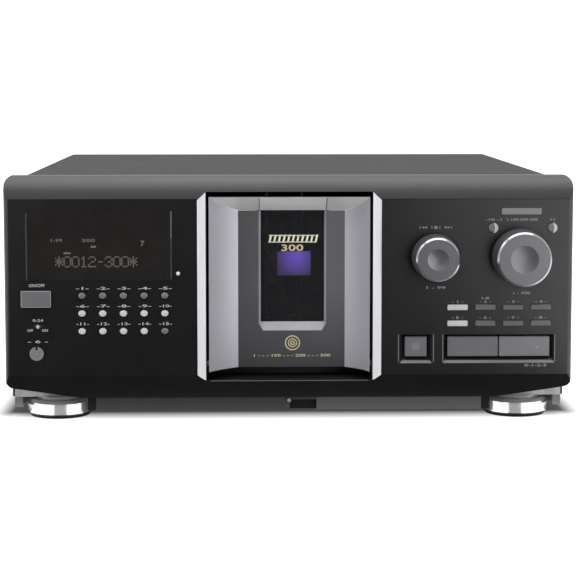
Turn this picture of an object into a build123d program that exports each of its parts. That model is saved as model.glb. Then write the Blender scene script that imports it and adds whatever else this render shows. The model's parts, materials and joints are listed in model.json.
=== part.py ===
from build123d import *
from math import acos, atan2, cos, degrees, floor, pi, radians, sin, tan
import os

os.makedirs("parts", exist_ok=True)

# A cabinet for 300 discs on a turning table, with a player deck in the table's centre hole.
# Sizes are in millimetres. X points right and Y back, seen from the front, and Z points up.
# The origin is on the floor, in the middle of the whole object's box.

# ---- driving dimensions -------------------------------------------------------------------

width = 430.0  # over the front panel's sides
body_depth = 453.0  # front face to the back panel's outer face
ridge_z = 187.5  # highest line of the front panel
knob_proud = 24.0  # knob faces before the front face
jack_proud = 7.0  # phono barrels behind the back panel

panel_wall = 3.0
panel_depth = 28.0
panel_low = 19.0
panel_side_run = 57.0  # each end of the bottom edge that rises to the corner
panel_side_rise = 8.7
panel_corner_r = 7.0
panel_plan_r = 4.0
panel_crown = 0.8  # the rounded corners run out this far above the ridge
panel_toe = 5.0  # the face leans back by this much below the bend
bend_z = 37.0
brow_drop = 16.7  # brow's foot under the ridge
brow_run = 18.0
brow_bulge = 3.4

sheet = 1.2  # steel of the cover, the base and the back
cover_side_gap = 2.0  # cover's sides inside the panel's sides
cover_drop = 3.0  # cover's top under the ridge
cover_corner_r = 8.0
cover_lip = 13.0  # laps over the back panel's top edge
base_z = 16.0  # underside of the base's floor
lap_gap = 0.3  # between sheets that slide together
base_flange = 16.0
runner_width = 6.0
runner_low = 8.0

kick_low = 8.0
kick_inset = 67.5  # kick strip's ends inside the panel's sides
kick_back = 12.0
kick_notch_x = 10.8
kick_notch_w = 20.5
kick_screw_z = 15.6
kick_screw_r = 2.0

bay_reveal = 8.9  # opening for the rails beyond the door's side
bay_low = 33.0
bay_rise = 4.0  # the opening's cut corners at the foot
bay_fall = 6.0  # and at the top
bay_top_gap = 11.5  # the opening's top under the ridge
rail_width = 6.3
rail_fit = 0.2
rail_proud = 2.2
rail_chamfer = 1.2
cheek_gap = 1.7  # door's side to the frame's cheek
cheek_wall = 3.0
frame_depth = 46.0
frame_flange = 2.8  # lap of the frame's flange behind the panel
flange_rise = 1.5  # flange's foot above the bend
flange_drop = 3.0  # flange's top under the brow's inside
frame_foot = 6.0  # the floor's rear edge overhangs the frame's foot
frame_floor_z = 31.8
ceiling_wall = 2.0
ceiling_slope = 13.0  # the cheeks' front edge leans back under the brow

door_half = 60.8
door_low = 39.2
door_top_drop = 15.5  # door's top under the ridge
door_wall = 3.0
recess_depth = 24.0
recess_left = -38.6
recess_right = 42.8
recess_sag = 1.9
roof_drop = 11.5
door_rim = 1.8
door_rim_depth = 14.0
hinge_lug_w = 11.0
hinge_lug_depth = 18.0
hinge_lug_h = 13.0
hinge_depth = 10.0
hinge_z = 44.5
pin_r = 2.0
pin_root = 3.0  # length of each hinge pin inside the door
spin_fit = 0.08  # radial clearance of what turns
window_x = 2.9
window_w = 48.8
window_low = 74.0
bevel_side = 4.4
bevel_low = 6.5
bevel_depth = 4.0
pane = 2.0
pane_fit = 0.1
roof_groove = 0.7
groove_side = 1.2  # grooves outside the window's sides
groove_start = 2.0  # behind the front face

travel = 1.0  # of every push key
key_gap = 0.3
flange_lip = 1.3
flange_t = 1.0
stem_r = 1.4
stem_gap = 0.4  # stem to plunger past the key's travel
key_crown = 0.5  # bevel round a small key's face
large_key_crown = 0.8
key_corner_r = 0.8
lip_corner_r = 1.0
switch_tip = 12.4  # depth of the switch plungers
board_depth = 16.3
board_t = 1.6
board_low = 42.0
switch_size = 6.0
switch_collar = 0.8  # plunger before the switch's body
board_gap = 14.3  # front boards to the door's opening
board_side = 9.0  # and to the panel's sides
board_drop = 5.0  # their top under the brow's foot
pillar_r = 3.0
pillar_side = 13.5
pillar_in = 5.0  # inside the board's edge
pillar_low = 47.0
pillar_mid = 102.4
pillar_drop = 10.0  # top pillars under the brow's foot

round_key_r = 2.9
round_key_proud = 1.6
round_key_left = 58.5  # first column from the panel's left side
round_key_pitch_x = 15.6
round_key_pitch_z = 13.5
round_key_top = 97.9
round_key_columns = 5
round_key_rows = 3

bar_key_w = 15.4
bar_key_h = 4.2
bar_key_proud = 1.2
bar_key_right = 24.3  # last column from the panel's right side
bar_key_pitch_x = 21.1
bar_key_pitch_z = 12.2
bar_key_low = 76.1
bar_key_columns = 4
bar_key_rows = 2

skip_key_r = 3.2
skip_key_z = 148.7
skip_key_spread = 22.4  # each side of the large knob's axis
skip_key_shift = 1.5

power_w = 22.2
power_h = 12.2
power_left = 24.2
power_z = 95.6
power_proud = 2.2

slider_left = 25.3
slider_z = 74.5
slider_w = 3.2
slider_h = 2.4
slider_throw = 2.5
slider_proud = 1.2
slider_lip = 1.5
slider_tail = 3.0  # behind the panel's wall

socket_left = 24.1
socket_z = 53.9
socket_r = 5.8
socket_proud = 0.4
socket_shoulder = 1.8
socket_groove_r = 4.8
socket_groove_w = 0.8
socket_slot_w = 2.2
socket_slot_h = 1.6
socket_slot_z = 2.6  # above the socket's middle
socket_deep = 5.0
contact_ring_r = 2.3
contact_count = 6
contact_r = 0.45

display_left = 16.5
display_w = 110.0
display_h = 54.5
display_drop = 7.3  # its top under the brow's foot
display_r = 3.0
display_lip = 3.0
display_recess = 0.3  # its face behind the front face
display_lip_t = 1.2
tube_w = 92.0
tube_h = 30.0
tube_front = 8.0
tube_r = 2.0
tube_edge = 0.8

pocket_low = 45.5
pocket_high = 67.5
pocket_depth = 5.0
transport_low = 50.5
transport_high = 65.8
transport_face = 1.6  # depth of the key faces in their pockets
stop_right = 119.0  # stop key's centre from the panel's right side
stop_w = 16.8
play_right = 75.7
pause_right = 36.3
transport_w = 38.6
pocket_margin = 3.6  # pocket's rim to its keys
pocket_pad = 2.8  # the pad behind the pocket to its keys
pocket_wall = 1.0

track_right = 105.1
disc_right = 40.6
knob_z = 126.8
track_r = 17.6
disc_r = 21.5
knob_taper = 1.2
knob_rim = 1.2
knob_back = 1.2  # more than the push travel
well_depth = 1.2
well_margin = 2.0
knob_cap = 6.0
dish_depth = 1.4
track_dish_r = 8.0
disc_dish_r = 10.5
shaft_r = 3.0
shaft_room = 1.0  # free length at each end of a shaft
shaft_collar_r = 4.5
shaft_collar_t = 1.0
encoder_t = 8.3
encoder_bore = 6.0
encoder_w = 13.0

foot_r = 25.0
foot_pad_t = 1.5
foot_neck_r = 19.0
foot_neck_h = 2.4
foot_shoulder = 2.2
foot_toe = 0.8
foot_pad_in = 2.0  # pads inside the feet's sides
foot_side = 37.0
foot_depth = 43.0
rear_foot_r = 18.0
rear_foot_side = 45.0
rear_foot_back = 60.0

side_room = 19.0  # turning table to the panel's sides
front_room = 42.0  # turning table to the front face
rear_room = 19.0  # turning table to the back
table_hole_r = 74.0
table_z = 24.0
table_floor = 3.0
comb_slots = 300
comb_tooth = 0.36  # share of the pitch
comb_depth = 5.0
comb_wall = 2.0
outer_comb_rim = 10.0
inner_comb_rim = 14.0
outer_comb_h = 17.0
inner_comb_h = 20.0

gear_module = 2.0
pinion_teeth = 16
gear_addendum = 0.8
gear_dedendum = 1.1
gear_pressure = radians(20)
gear_backlash = 0.45
gear_height = 6.0
mesh_clearance = 0.25
pinion_side = 3 * pi / 4  # direction of the pinion from the table's axis

tray_wall = 3.0
tray_margin = 4.0
hub_ring_r = 70.0
hub_ring_top = 40.0
carrier_ring_r = 140.0
carrier_count = 6
carrier_len = 24.0
carrier_w = 9.0
axle_r = 2.5  # pinion's axle

deck_half = 64.0  # radius of the deck's foot
deck_len = 120.0
deck_gap = 28.0
deck_wall = 2.0
deck_top_drop = 19.0
spindle_z = 100.0
turntable_r = 14.0
turntable_t = 3.0
disc_boss_r = 7.2  # fits a disc's centre hole
disc_boss_h = 1.4
disc_boss_taper = 12
spindle_hub_r = 4.0
spindle_shaft_r = 1.0
spindle_shaft_in = 5.0  # length inside its motor
disc_side = 1.6
sled_start = 23.5
sled_len = 16.0
sled_h = 30.0
sled_t = 7.0
sled_rail_r = 1.5
sled_rails_z = (-10.0, 10.0)  # from the spindle's axis
sled_rail_in = 5.5  # rails inside the left plate
sled_lugs_y = (-64.0, -10.0)  # from the spindle's axis
sled_lug_w = 4.0
sled_lug_h = 6.0
sled_lug_out = 8.0
sled_gap = 1.0
sled_corner_r = 1.5
sled_lens_r = 3.4
sled_lens_t = 1.2
bridge_t = 4.0
bridge_w = 14.0
arm_len = 56.0
arm_t = 3.0
arm_z_half = 4.7
arm_in = 4.0  # arm's middle inside the right plate
arm_pin_r = 1.5
arm_lug_t = 3.0
arm_lug_w = 10.0
clamp_r = 12.0
lever_y = -34.0
lever_z = 34.0
lever_tip_y = -62.0
lever_tip_z = 62.0
lever_t = 4.0
lever_w = 10.0

phono_r = 4.15
phono_collar_r = 5.0
phono_bore_r = 1.7
phono_bore_deep = 3.2  # the bore runs on behind the panel's outer face
phono_block_w = 12.0
phono_block_h = 16.0
phono_left = 65.0
phono_pitch = 18.0
jack_z = 60.0
minijack_r = 1.8
minijack_left = 105.0
minijack_pitch = 15.0
minijack_collar_r = 3.0
minijack_proud = 0.6
minijack_deep = 8.8
minijack_block_w = 10.0
minijack_block_h = 11.0
optical_left = 138.0
optical_w = 10.0
optical_h = 9.0
optical_rim = 3.0
optical_proud = 1.0
optical_mouth = 6.4
optical_deep = 5.0
gland_right = 65.0
gland_z = 44.0
gland_r = 5.0
gland_bore_r = 3.2
gland_flange_r = 8.0
gland_flange_t = 1.5
gland_nose_r = 6.5
gland_nut_r = 7.0
gland_out = 4.0
gland_in = 6.0
rear_board_gap = 8.4

main_board_left = 22.0
main_board_low = 29.2
main_board_w = 200.0
main_board_h = 92.0
chips_left = 112.5
chips_z = 99.0
chip_pitch = 52.5
chip_count = 3
chip_w = 24.0
chip_h = 18.0
chip_t = 2.5
capacitors_left = 190.0
capacitors_z = 70.0
capacitor_pitch_x = 9.0
capacitor_pitch_z = 12.0
capacitor_r = 2.6
slide_switch_w = 15.0
slide_switch_h = 7.0

screw_head_r = 3.0
screw_head_t = 1.4
screw_shank_r = 1.45
screw_hole_r = 1.6
screw_len = 4.0
side_screw_in = 60.0  # side screws from the case's front and back
back_screw_in = 20.0  # back screws from the base's sides
low_screw_rise = 8.0
top_screw_drop = 7.0

drive_run = 37.0  # pinion's axle to the table motor
gearbox_w = 30.0
table_motor_r = 12.0
table_motor_h = 26.0
spindle_motor_r = 13.0
spindle_motor_h = 14.0
loading_motor_r = 10.0
loading_motor_h = 24.0
loading_motor_y = 30.0  # behind the spindle
loading_motor_z = 60.0
door_drive_w = 14.0
door_drive_h = 26.0
door_drive_z = 45.0
door_drive_front = 10.0
door_drive_back = 26.0
door_motor_r = 6.0
door_motor_len = 20.0

transformer_w = 46.0
transformer_d = 42.0
transformer_h = 52.0
transformer_gap = 9.0
core_side = 4.0  # winding stands out past the core's sides
core_end = 5.0  # core stands out past the winding's ends
core_low = 10.0
transformer_edge = 1.5

# ---- places worked out from them ----------------------------------------------------------

half = width / 2
face_y = knob_proud - (body_depth + knob_proud + jack_proud) / 2
back_y = face_y + body_depth
brow_z = ridge_z - brow_drop
bay_top = ridge_z - bay_top_gap
door_top = ridge_z - door_top_drop
bay_half = door_half + bay_reveal
cheek_x = door_half + cheek_gap
rail_outer = bay_half - rail_fit
rail_inner = rail_outer - rail_width
floor_z = base_z + sheet
cover_half = half - cover_side_gap
cover_top = ridge_z - cover_drop
base_half = cover_half - sheet - lap_gap
case_front_y = face_y + panel_depth + lap_gap
hinge_y = face_y + hinge_depth
frame_low = panel_low + panel_wall + lap_gap

table_r = min(half - side_room, (body_depth - front_room - rear_room) / 2)
table_y = face_y + front_room + table_r
table_teeth = floor(2 * (table_r - gear_addendum * gear_module) / gear_module)
table_pitch_r = gear_module * table_teeth / 2
pinion_pitch_r = gear_module * pinion_teeth / 2
pinion_arm = table_pitch_r + pinion_pitch_r + mesh_clearance
pinion_x = pinion_arm * cos(pinion_side)
pinion_y = table_y + pinion_arm * sin(pinion_side)
table_top = table_z + table_floor
tray_r = table_r + tray_margin
tray_top = floor_z + tray_wall
deck_top = ridge_z - deck_top_drop
plate_x = deck_gap / 2
disc_knob_x = half - disc_right
track_knob_x = half - track_right
board_inner = bay_half + board_gap
board_outer = half - board_side


def front_plane(depth, x=0.0, z=0.0):
    """Upright plane at a depth behind the front face, seen from the front."""
    return Plane(origin=(x, face_y + depth, z), x_dir=(1, 0, 0), z_dir=(0, -1, 0))


def side_plane(x, y=0.0, z=0.0):
    """Upright plane square to X, with its own x along Y and its own y along Z."""
    return Plane(origin=(x, y, z), x_dir=(0, 1, 0), z_dir=(1, 0, 0))


# ---- the front panel's form ---------------------------------------------------------------


def panel_form(inset):
    """Outer form of the front moulding, drawn in on every side but the open back."""
    side = half - inset
    low = panel_low + inset
    high = ridge_z - inset
    front = face_y + inset
    rear = face_y + panel_depth + inset
    flat = half - panel_side_run
    rise = low + panel_side_rise
    crown = high + panel_crown
    brow_foot = (front, brow_z - inset)
    brow_head = (front + brow_run, high)
    with BuildPart() as form:
        with BuildSketch(Plane.YZ):
            with BuildLine():
                Polyline(brow_head, (rear, high), (rear, low), (front + panel_toe, low),
                         (front, bend_z), brow_foot)
                SagittaArc(brow_foot, brow_head, brow_bulge)
            make_face()
        extrude(amount=side, both=True)
        with BuildSketch(Plane.XZ):
            with BuildLine():
                Polyline((-flat, low), (flat, low), (side, rise), (side, crown), (-side, crown),
                         (-side, rise), (-flat, low))
            make_face()
            fillet([v for v in vertices() if abs(v.X) > flat + 1], panel_corner_r)
        extrude(amount=body_depth, both=True, mode=Mode.INTERSECT)
        with BuildSketch(Plane.XY):
            with Locations((0, front)):
                Rectangle(2 * side, panel_depth + inset, align=(Align.CENTER, Align.MIN))
            fillet(vertices().group_by(Axis.Y)[0], panel_plan_r)
        extrude(amount=ridge_z + 1, mode=Mode.INTERSECT)
    return form.part


def bay_points(reach, low, high):
    """The door opening's outline: a rectangle with its four corners cut."""
    inner = rail_inner - rail_fit
    right = [(inner, low), (reach, low + bay_rise), (reach, high - bay_fall), (inner, high)]
    left = [(-x, z) for x, z in reversed(right)]
    return right + left


# ---- where the controls stand -------------------------------------------------------------

round_keys = []
for row in range(round_key_rows):
    for column in range(round_key_columns):
        round_keys.append((-half + round_key_left + column * round_key_pitch_x,
                           round_key_top - row * round_key_pitch_z))

bar_keys = []
for row in reversed(range(bar_key_rows)):
    for column in reversed(range(bar_key_columns)):
        bar_keys.append((half - bar_key_right - column * bar_key_pitch_x,
                         bar_key_low + row * bar_key_pitch_z))

skip_keys = {
    "skip_key_left": (disc_knob_x + skip_key_shift - skip_key_spread, skip_key_z),
    "skip_key_right": (disc_knob_x + skip_key_shift + skip_key_spread, skip_key_z),
}
power_x = -half + power_left
slider_x = -half + slider_left
socket_x = -half + socket_left
display_x = -half + display_left + display_w / 2
display_z = brow_z - display_drop - display_h / 2

transport_h = transport_high - transport_low
transport_z = (transport_low + transport_high) / 2
pocket_h = pocket_high - pocket_low
pocket_z = (pocket_low + pocket_high) / 2
transport_keys = {
    "stop_key": (half - stop_right, stop_w),
    "play_key": (half - play_right, transport_w),
    "pause_key": (half - pause_right, transport_w),
}
stop_x = half - stop_right
pair_x = half - (play_right + pause_right) / 2
pair_w = play_right - pause_right + transport_w
pockets = [(stop_x, stop_w), (pair_x, pair_w)]
knobs = [(track_knob_x, track_r), (disc_knob_x, disc_r)]

left_pillars = [(-half + pillar_side, pillar_low), (-board_inner - pillar_in, pillar_low)]
for columns in (-1, 3.5):
    left_pillars.append((-half + round_key_left + columns * round_key_pitch_x, pillar_mid))
right_pillars = []
for pillar_z in (pillar_mid, brow_z - pillar_drop):
    right_pillars += [(board_inner + pillar_in, pillar_z), (half - pillar_side, pillar_z)]

# ---- front panel --------------------------------------------------------------------------

with BuildPart() as front_panel:
    add(panel_form(0))
    add(panel_form(panel_wall), mode=Mode.SUBTRACT)
    # kick strip under the face
    with BuildSketch(front_plane(kick_back + panel_wall)):
        with Locations((0, kick_low)):
            Rectangle(2 * (half - kick_inset), panel_low + panel_wall - kick_low,
                      align=(Align.CENTER, Align.MIN))
        with Locations((kick_notch_x, kick_low)):
            Rectangle(kick_notch_w, base_z - kick_low, align=(Align.CENTER, Align.MIN),
                      mode=Mode.SUBTRACT)
        with Locations((0, kick_screw_z)):
            Circle(screw_hole_r, mode=Mode.SUBTRACT)
    extrude(amount=panel_wall)
    # pads behind the two key pockets
    for x, w in pockets:
        with BuildSketch(front_plane(panel_wall + pocket_depth, x, pocket_z)):
            Rectangle(w + 2 * pocket_pad, pocket_h + 2 * pocket_wall)
        extrude(amount=pocket_depth)
    # pillars that carry the two front boards
    with BuildSketch(front_plane(board_depth)):
        with Locations(*left_pillars, *right_pillars):
            Circle(pillar_r)
    extrude(amount=board_depth - panel_wall)
    # door opening, with its cut corners
    with BuildSketch(front_plane(panel_depth)):
        Polygon(*bay_points(bay_half, bay_low, bay_top), align=None)
    extrude(amount=panel_depth + brow_run, mode=Mode.SUBTRACT)
    # display opening
    with BuildSketch(front_plane(panel_wall + 1, display_x, display_z)):
        RectangleRounded(display_w + 2 * pane_fit, display_h + 2 * pane_fit, display_r)
    extrude(amount=panel_wall + 2, mode=Mode.SUBTRACT)
    # round holes: keys, shafts and the keyboard socket
    with BuildSketch(front_plane(panel_wall + 1)):
        with Locations(*round_keys):
            Circle(round_key_r + key_gap)
        with Locations(*skip_keys.values()):
            Circle(skip_key_r + key_gap)
        with Locations(*[(x, knob_z) for x, r in knobs]):
            Circle(shaft_r + key_gap)
        with Locations((socket_x, socket_z)):
            Circle(socket_r + pane_fit)
        with Locations(*bar_keys):
            RectangleRounded(bar_key_w + 2 * key_gap, bar_key_h + 2 * key_gap, lip_corner_r)
        with Locations((power_x, power_z)):
            RectangleRounded(power_w + 2 * key_gap, power_h + 2 * key_gap, lip_corner_r)
        with Locations((slider_x, slider_z)):
            Rectangle(slider_w + 2 * (slider_throw + key_gap), slider_h + 2 * key_gap)
    extrude(amount=panel_wall + 2, mode=Mode.SUBTRACT)
    # shallow wells round the knobs
    for x, r in knobs:
        with BuildSketch(front_plane(well_depth, x, knob_z)):
            Circle(r + well_margin)
        extrude(amount=well_depth + 1, mode=Mode.SUBTRACT)
    # key pockets: sloping sides, then a straight hole
    for x, w in pockets:
        with BuildSketch(front_plane(0, x, pocket_z)):
            Rectangle(w + 2 * pocket_margin, pocket_h)
        with BuildSketch(front_plane(pocket_depth, x, transport_z)):
            Rectangle(w + 2 * key_gap, transport_h + 2 * key_gap)
        loft(ruled=True, mode=Mode.SUBTRACT)
        with BuildSketch(front_plane(panel_wall + pocket_depth + 1, x, transport_z)):
            Rectangle(w + 2 * key_gap, transport_h + 2 * key_gap)
        extrude(amount=panel_wall + 2, mode=Mode.SUBTRACT)
front_panel.part.label = "front_panel"
export_step(front_panel.part, "parts/front_panel.step")

# ---- cover, base and back -----------------------------------------------------------------


def cover_section(side, low, top, radius):
    """Section of the cover: straight sides and rounded top corners."""
    with BuildSketch(Plane.XZ.offset(-back_y - sheet)) as section:
        with Locations((0, low)):
            Rectangle(2 * side, top - low, align=(Align.CENTER, Align.MIN))
        fillet(vertices().group_by(Axis.Y)[-1], radius)
    return section.sketch


cover_low = base_z + lap_gap
cover_len = back_y + sheet - case_front_y
side_screw_y = [case_front_y + side_screw_in, back_y - side_screw_in]
side_screw_z = floor_z + low_screw_rise
back_screw_x = [x * (base_half - back_screw_in) for x in (-1, 0, 1)]
back_low_screws = [(x, floor_z + low_screw_rise) for x in back_screw_x]
back_top_screws = [(x, cover_top - top_screw_drop) for x in back_screw_x]

with BuildPart() as top_cover:
    extrude(cover_section(cover_half, cover_low, cover_top, cover_corner_r), amount=cover_len)
    inner_section = cover_section(cover_half - sheet, cover_low - 1, cover_top - sheet,
                                  cover_corner_r - sheet)
    extrude(inner_section, amount=cover_len + 1, mode=Mode.SUBTRACT)
    # lip that laps over the back panel's top edge
    with BuildSketch(Plane.XZ.offset(-back_y - sheet)):
        with Locations((0, cover_top - sheet / 2)):
            Rectangle(2 * (cover_half - cover_corner_r), cover_lip, align=(Align.CENTER, Align.MAX))
        with Locations(*back_top_screws):
            Circle(screw_hole_r, mode=Mode.SUBTRACT)
    extrude(amount=sheet)
    # screw holes in the sides
    with BuildSketch(Plane.YZ):
        with Locations(*[(y, side_screw_z) for y in side_screw_y]):
            Circle(screw_hole_r)
    extrude(amount=half, both=True, mode=Mode.SUBTRACT)
top_cover.part.label = "top_cover"
export_step(top_cover.part, "parts/top_cover.step")

base_back_y = back_y - sheet
base_len = base_back_y - case_front_y

with BuildPart() as base_pan:
    with BuildSketch(Plane.XY.offset(base_z)):
        with Locations((0, case_front_y)):
            Rectangle(2 * base_half, base_len, align=(Align.CENTER, Align.MIN))
    extrude(amount=base_flange + sheet)
    with BuildSketch(Plane.XY.offset(floor_z)):
        with Locations((0, case_front_y + sheet)):
            Rectangle(2 * (base_half - sheet), base_len - 2 * sheet,
                      align=(Align.CENTER, Align.MIN))
    extrude(amount=base_flange + 1, mode=Mode.SUBTRACT)
    # runners along both sides, under the floor
    with BuildSketch(Plane.XY.offset(runner_low)):
        with Locations((base_half - runner_width / 2, case_front_y),
                       (-base_half + runner_width / 2, case_front_y)):
            Rectangle(runner_width, base_len, align=(Align.CENTER, Align.MIN))
    extrude(amount=base_z - runner_low)
    with BuildSketch(Plane.YZ):
        with Locations(*[(y, side_screw_z) for y in side_screw_y]):
            Circle(screw_hole_r)
    extrude(amount=half, both=True, mode=Mode.SUBTRACT)
    with BuildSketch(Plane.XZ.offset(-back_y)):
        with Locations(*back_low_screws):
            Circle(screw_hole_r)
    extrude(amount=3 * sheet, mode=Mode.SUBTRACT)
    # notch in the front flange for the door's frame
    with BuildSketch(Plane.XZ.offset(-case_front_y - 2 * sheet)):
        with Locations((0, frame_low - lap_gap)):
            Rectangle(2 * (cheek_x + cheek_wall + lap_gap), base_flange,
                      align=(Align.CENTER, Align.MIN))
    extrude(amount=3 * sheet, mode=Mode.SUBTRACT)
base_pan.part.label = "base_pan"
export_step(base_pan.part, "parts/base_pan.step")

phono_places = [(-half + phono_left + n * phono_pitch, jack_z) for n in (0, 1)]
minijack_places = [(-half + minijack_left + n * minijack_pitch, jack_z) for n in (0, 1)]
optical_place = (-half + optical_left, jack_z)
gland_place = (half - gland_right, gland_z)

with BuildPart() as back_panel:
    with BuildSketch(Plane.XZ.offset(-back_y)):
        with Locations((0, base_z + lap_gap)):
            Rectangle(2 * base_half, cover_top - sheet - lap_gap - base_z - lap_gap,
                      align=(Align.CENTER, Align.MIN))
        fillet(vertices().group_by(Axis.Y)[-1], cover_corner_r)
        with Locations(*phono_places):
            Circle(phono_collar_r + key_gap, mode=Mode.SUBTRACT)
        with Locations(*minijack_places):
            Circle(minijack_collar_r + key_gap, mode=Mode.SUBTRACT)
        with Locations(optical_place):
            Rectangle(optical_w + 2 * key_gap, optical_h + 2 * key_gap, mode=Mode.SUBTRACT)
        with Locations(gland_place):
            Circle(gland_r + key_gap, mode=Mode.SUBTRACT)
        with Locations(*back_low_screws, *back_top_screws):
            Circle(screw_hole_r, mode=Mode.SUBTRACT)
    extrude(amount=sheet)
back_panel.part.label = "back_panel"
export_step(back_panel.part, "parts/back_panel.step")

# ---- sockets on the back ------------------------------------------------------------------

rear_board_y = back_y - sheet - rear_board_gap

with BuildPart() as rear_jacks:
    # phono jacks: a block on the board and a barrel through the panel
    with BuildSketch(Plane.XZ.offset(-back_y + sheet)):
        with Locations(*phono_places):
            Rectangle(phono_block_w, phono_block_h)
        with Locations(*minijack_places):
            Rectangle(minijack_block_w, minijack_block_h)
        with Locations(optical_place):
            Rectangle(optical_w + optical_rim, optical_h + optical_rim)
    extrude(amount=rear_board_gap)
    with BuildSketch(Plane.XZ.offset(-back_y)):
        with Locations(*phono_places):
            Circle(phono_collar_r)
    extrude(amount=sheet)
    with BuildSketch(Plane.XZ.offset(-back_y - jack_proud)):
        with Locations(*phono_places):
            Circle(phono_r)
    extrude(amount=jack_proud)
    with BuildSketch(Plane.XZ.offset(-back_y - jack_proud)):
        with Locations(*phono_places):
            Circle(phono_bore_r)
    extrude(amount=jack_proud + phono_bore_deep, mode=Mode.SUBTRACT)
    # control jacks: a short collar with a bore
    with BuildSketch(Plane.XZ.offset(-back_y - minijack_proud)):
        with Locations(*minijack_places):
            Circle(minijack_collar_r)
    extrude(amount=minijack_proud + sheet)
    with BuildSketch(Plane.XZ.offset(-back_y - minijack_proud)):
        with Locations(*minijack_places):
            Circle(minijack_r)
    extrude(amount=minijack_deep, mode=Mode.SUBTRACT)
    # optical socket with its square mouth
    with BuildSketch(Plane.XZ.offset(-back_y - optical_proud)):
        with Locations(optical_place):
            Rectangle(optical_w, optical_h)
    extrude(amount=optical_proud + sheet)
    with BuildSketch(Plane.XZ.offset(-back_y - optical_proud)):
        with Locations(optical_place):
            Rectangle(optical_mouth, optical_mouth)
    extrude(amount=optical_deep, mode=Mode.SUBTRACT)
    # cord gland: a bush with a flange outside and one inside
    with BuildSketch(Plane.XZ.offset(-back_y - gland_out)):
        with Locations(gland_place):
            Circle(gland_nose_r)
    extrude(amount=gland_out)
    with BuildSketch(Plane.XZ.offset(-back_y - gland_flange_t)):
        with Locations(gland_place):
            Circle(gland_flange_r)
    extrude(amount=gland_flange_t)
    with BuildSketch(Plane.XZ.offset(-back_y)):
        with Locations(gland_place):
            Circle(gland_r)
    extrude(amount=sheet + gland_in)
    with BuildSketch(Plane.XZ.offset(-back_y + sheet)):
        with Locations(gland_place):
            Circle(gland_nut_r)
    extrude(amount=gland_in)
    with BuildSketch(Plane.XZ.offset(-back_y - gland_out)):
        with Locations(gland_place):
            Circle(gland_bore_r)
    extrude(amount=gland_out + sheet + gland_in, mode=Mode.SUBTRACT)
rear_jacks.part.label = "rear_jacks"
export_step(rear_jacks.part, "parts/rear_jacks.step")

# ---- feet ---------------------------------------------------------------------------------

foot_places = [(x * (half - foot_side), face_y + foot_depth) for x in (-1, 1)]
rear_foot_places = [(x * (half - rear_foot_side), back_y - rear_foot_back) for x in (-1, 1)]

with BuildPart() as front_feet:
    with BuildSketch(Plane.XY.offset(foot_pad_t)):
        with Locations(*foot_places):
            Circle(foot_r)
    extrude(amount=base_z - foot_pad_t - foot_neck_h)
    chamfer(front_feet.edges().filter_by(GeomType.CIRCLE).group_by(Axis.Z)[-1], foot_shoulder)
    chamfer(front_feet.edges().filter_by(GeomType.CIRCLE).group_by(Axis.Z)[0], foot_toe)
    with BuildSketch(Plane.XY.offset(base_z - foot_neck_h)):
        with Locations(*foot_places):
            Circle(foot_neck_r)
    extrude(amount=foot_neck_h)
front_feet.part.label = "front_feet"
export_step(front_feet.part, "parts/front_feet.step")

with BuildPart() as rubber_feet:
    with BuildSketch(Plane.XY):
        with Locations(*foot_places):
            Circle(foot_r - foot_pad_in)
        with Locations(*rear_foot_places):
            Circle(rear_foot_r - foot_pad_in)
    extrude(amount=foot_pad_t)
    with BuildSketch(Plane.XY.offset(foot_pad_t)):
        with Locations(*rear_foot_places):
            Circle(rear_foot_r)
    extrude(amount=base_z - foot_pad_t)
rubber_feet.part.label = "rubber_feet"
export_step(rubber_feet.part, "parts/rubber_feet.step")

# ---- door frame and rails -----------------------------------------------------------------

flange_low = bend_z + flange_rise
flange_high = brow_z - panel_wall - flange_drop

with BuildPart() as door_frame:
    # cheeks, floor and ceiling, from a solid block hollowed through
    with BuildSketch(side_plane(0)):
        with BuildLine():
            front = face_y + panel_wall
            rear = face_y + frame_depth
            top = bay_top + ceiling_wall
            Polyline((front + panel_toe + lap_gap, frame_low), (rear - frame_foot, frame_low),
                     (rear - frame_foot, frame_floor_z), (rear, frame_floor_z), (rear, top),
                     (front + ceiling_slope, top), (front, flange_high), (front, flange_low),
                     (front + panel_toe + lap_gap, frame_low))
        make_face()
    extrude(amount=cheek_x + cheek_wall, both=True)
    with BuildSketch(Plane.XY.offset(frame_floor_z)):
        with Locations((0, face_y)):
            Rectangle(2 * cheek_x, frame_depth + 1, align=(Align.CENTER, Align.MIN))
    extrude(amount=bay_top - frame_floor_z, mode=Mode.SUBTRACT)
    # hollow under the floor
    with BuildSketch(front_plane(panel_wall)):
        with Locations((0, frame_low - 1)):
            Rectangle(2 * cheek_x, frame_floor_z - 1 - frame_low, align=(Align.CENTER, Align.MIN))
    extrude(amount=-frame_depth, mode=Mode.SUBTRACT)
    # flange behind the panel, which the rails stand on
    with BuildSketch(front_plane(2 * panel_wall)):
        with Locations((0, flange_low)):
            Rectangle(2 * (bay_half + frame_flange), flange_high - flange_low,
                      align=(Align.CENTER, Align.MIN))
            Rectangle(2 * cheek_x, flange_high - flange_low, align=(Align.CENTER, Align.MIN),
                      mode=Mode.SUBTRACT)
    extrude(amount=panel_wall)
    # hinge holes
    with BuildSketch(side_plane(0, hinge_y, hinge_z)):
        Circle(pin_r + spin_fit)
    extrude(amount=cheek_x + cheek_wall + 1, both=True, mode=Mode.SUBTRACT)
door_frame.part.label = "door_frame"
export_step(door_frame.part, "parts/door_frame.step")

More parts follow.
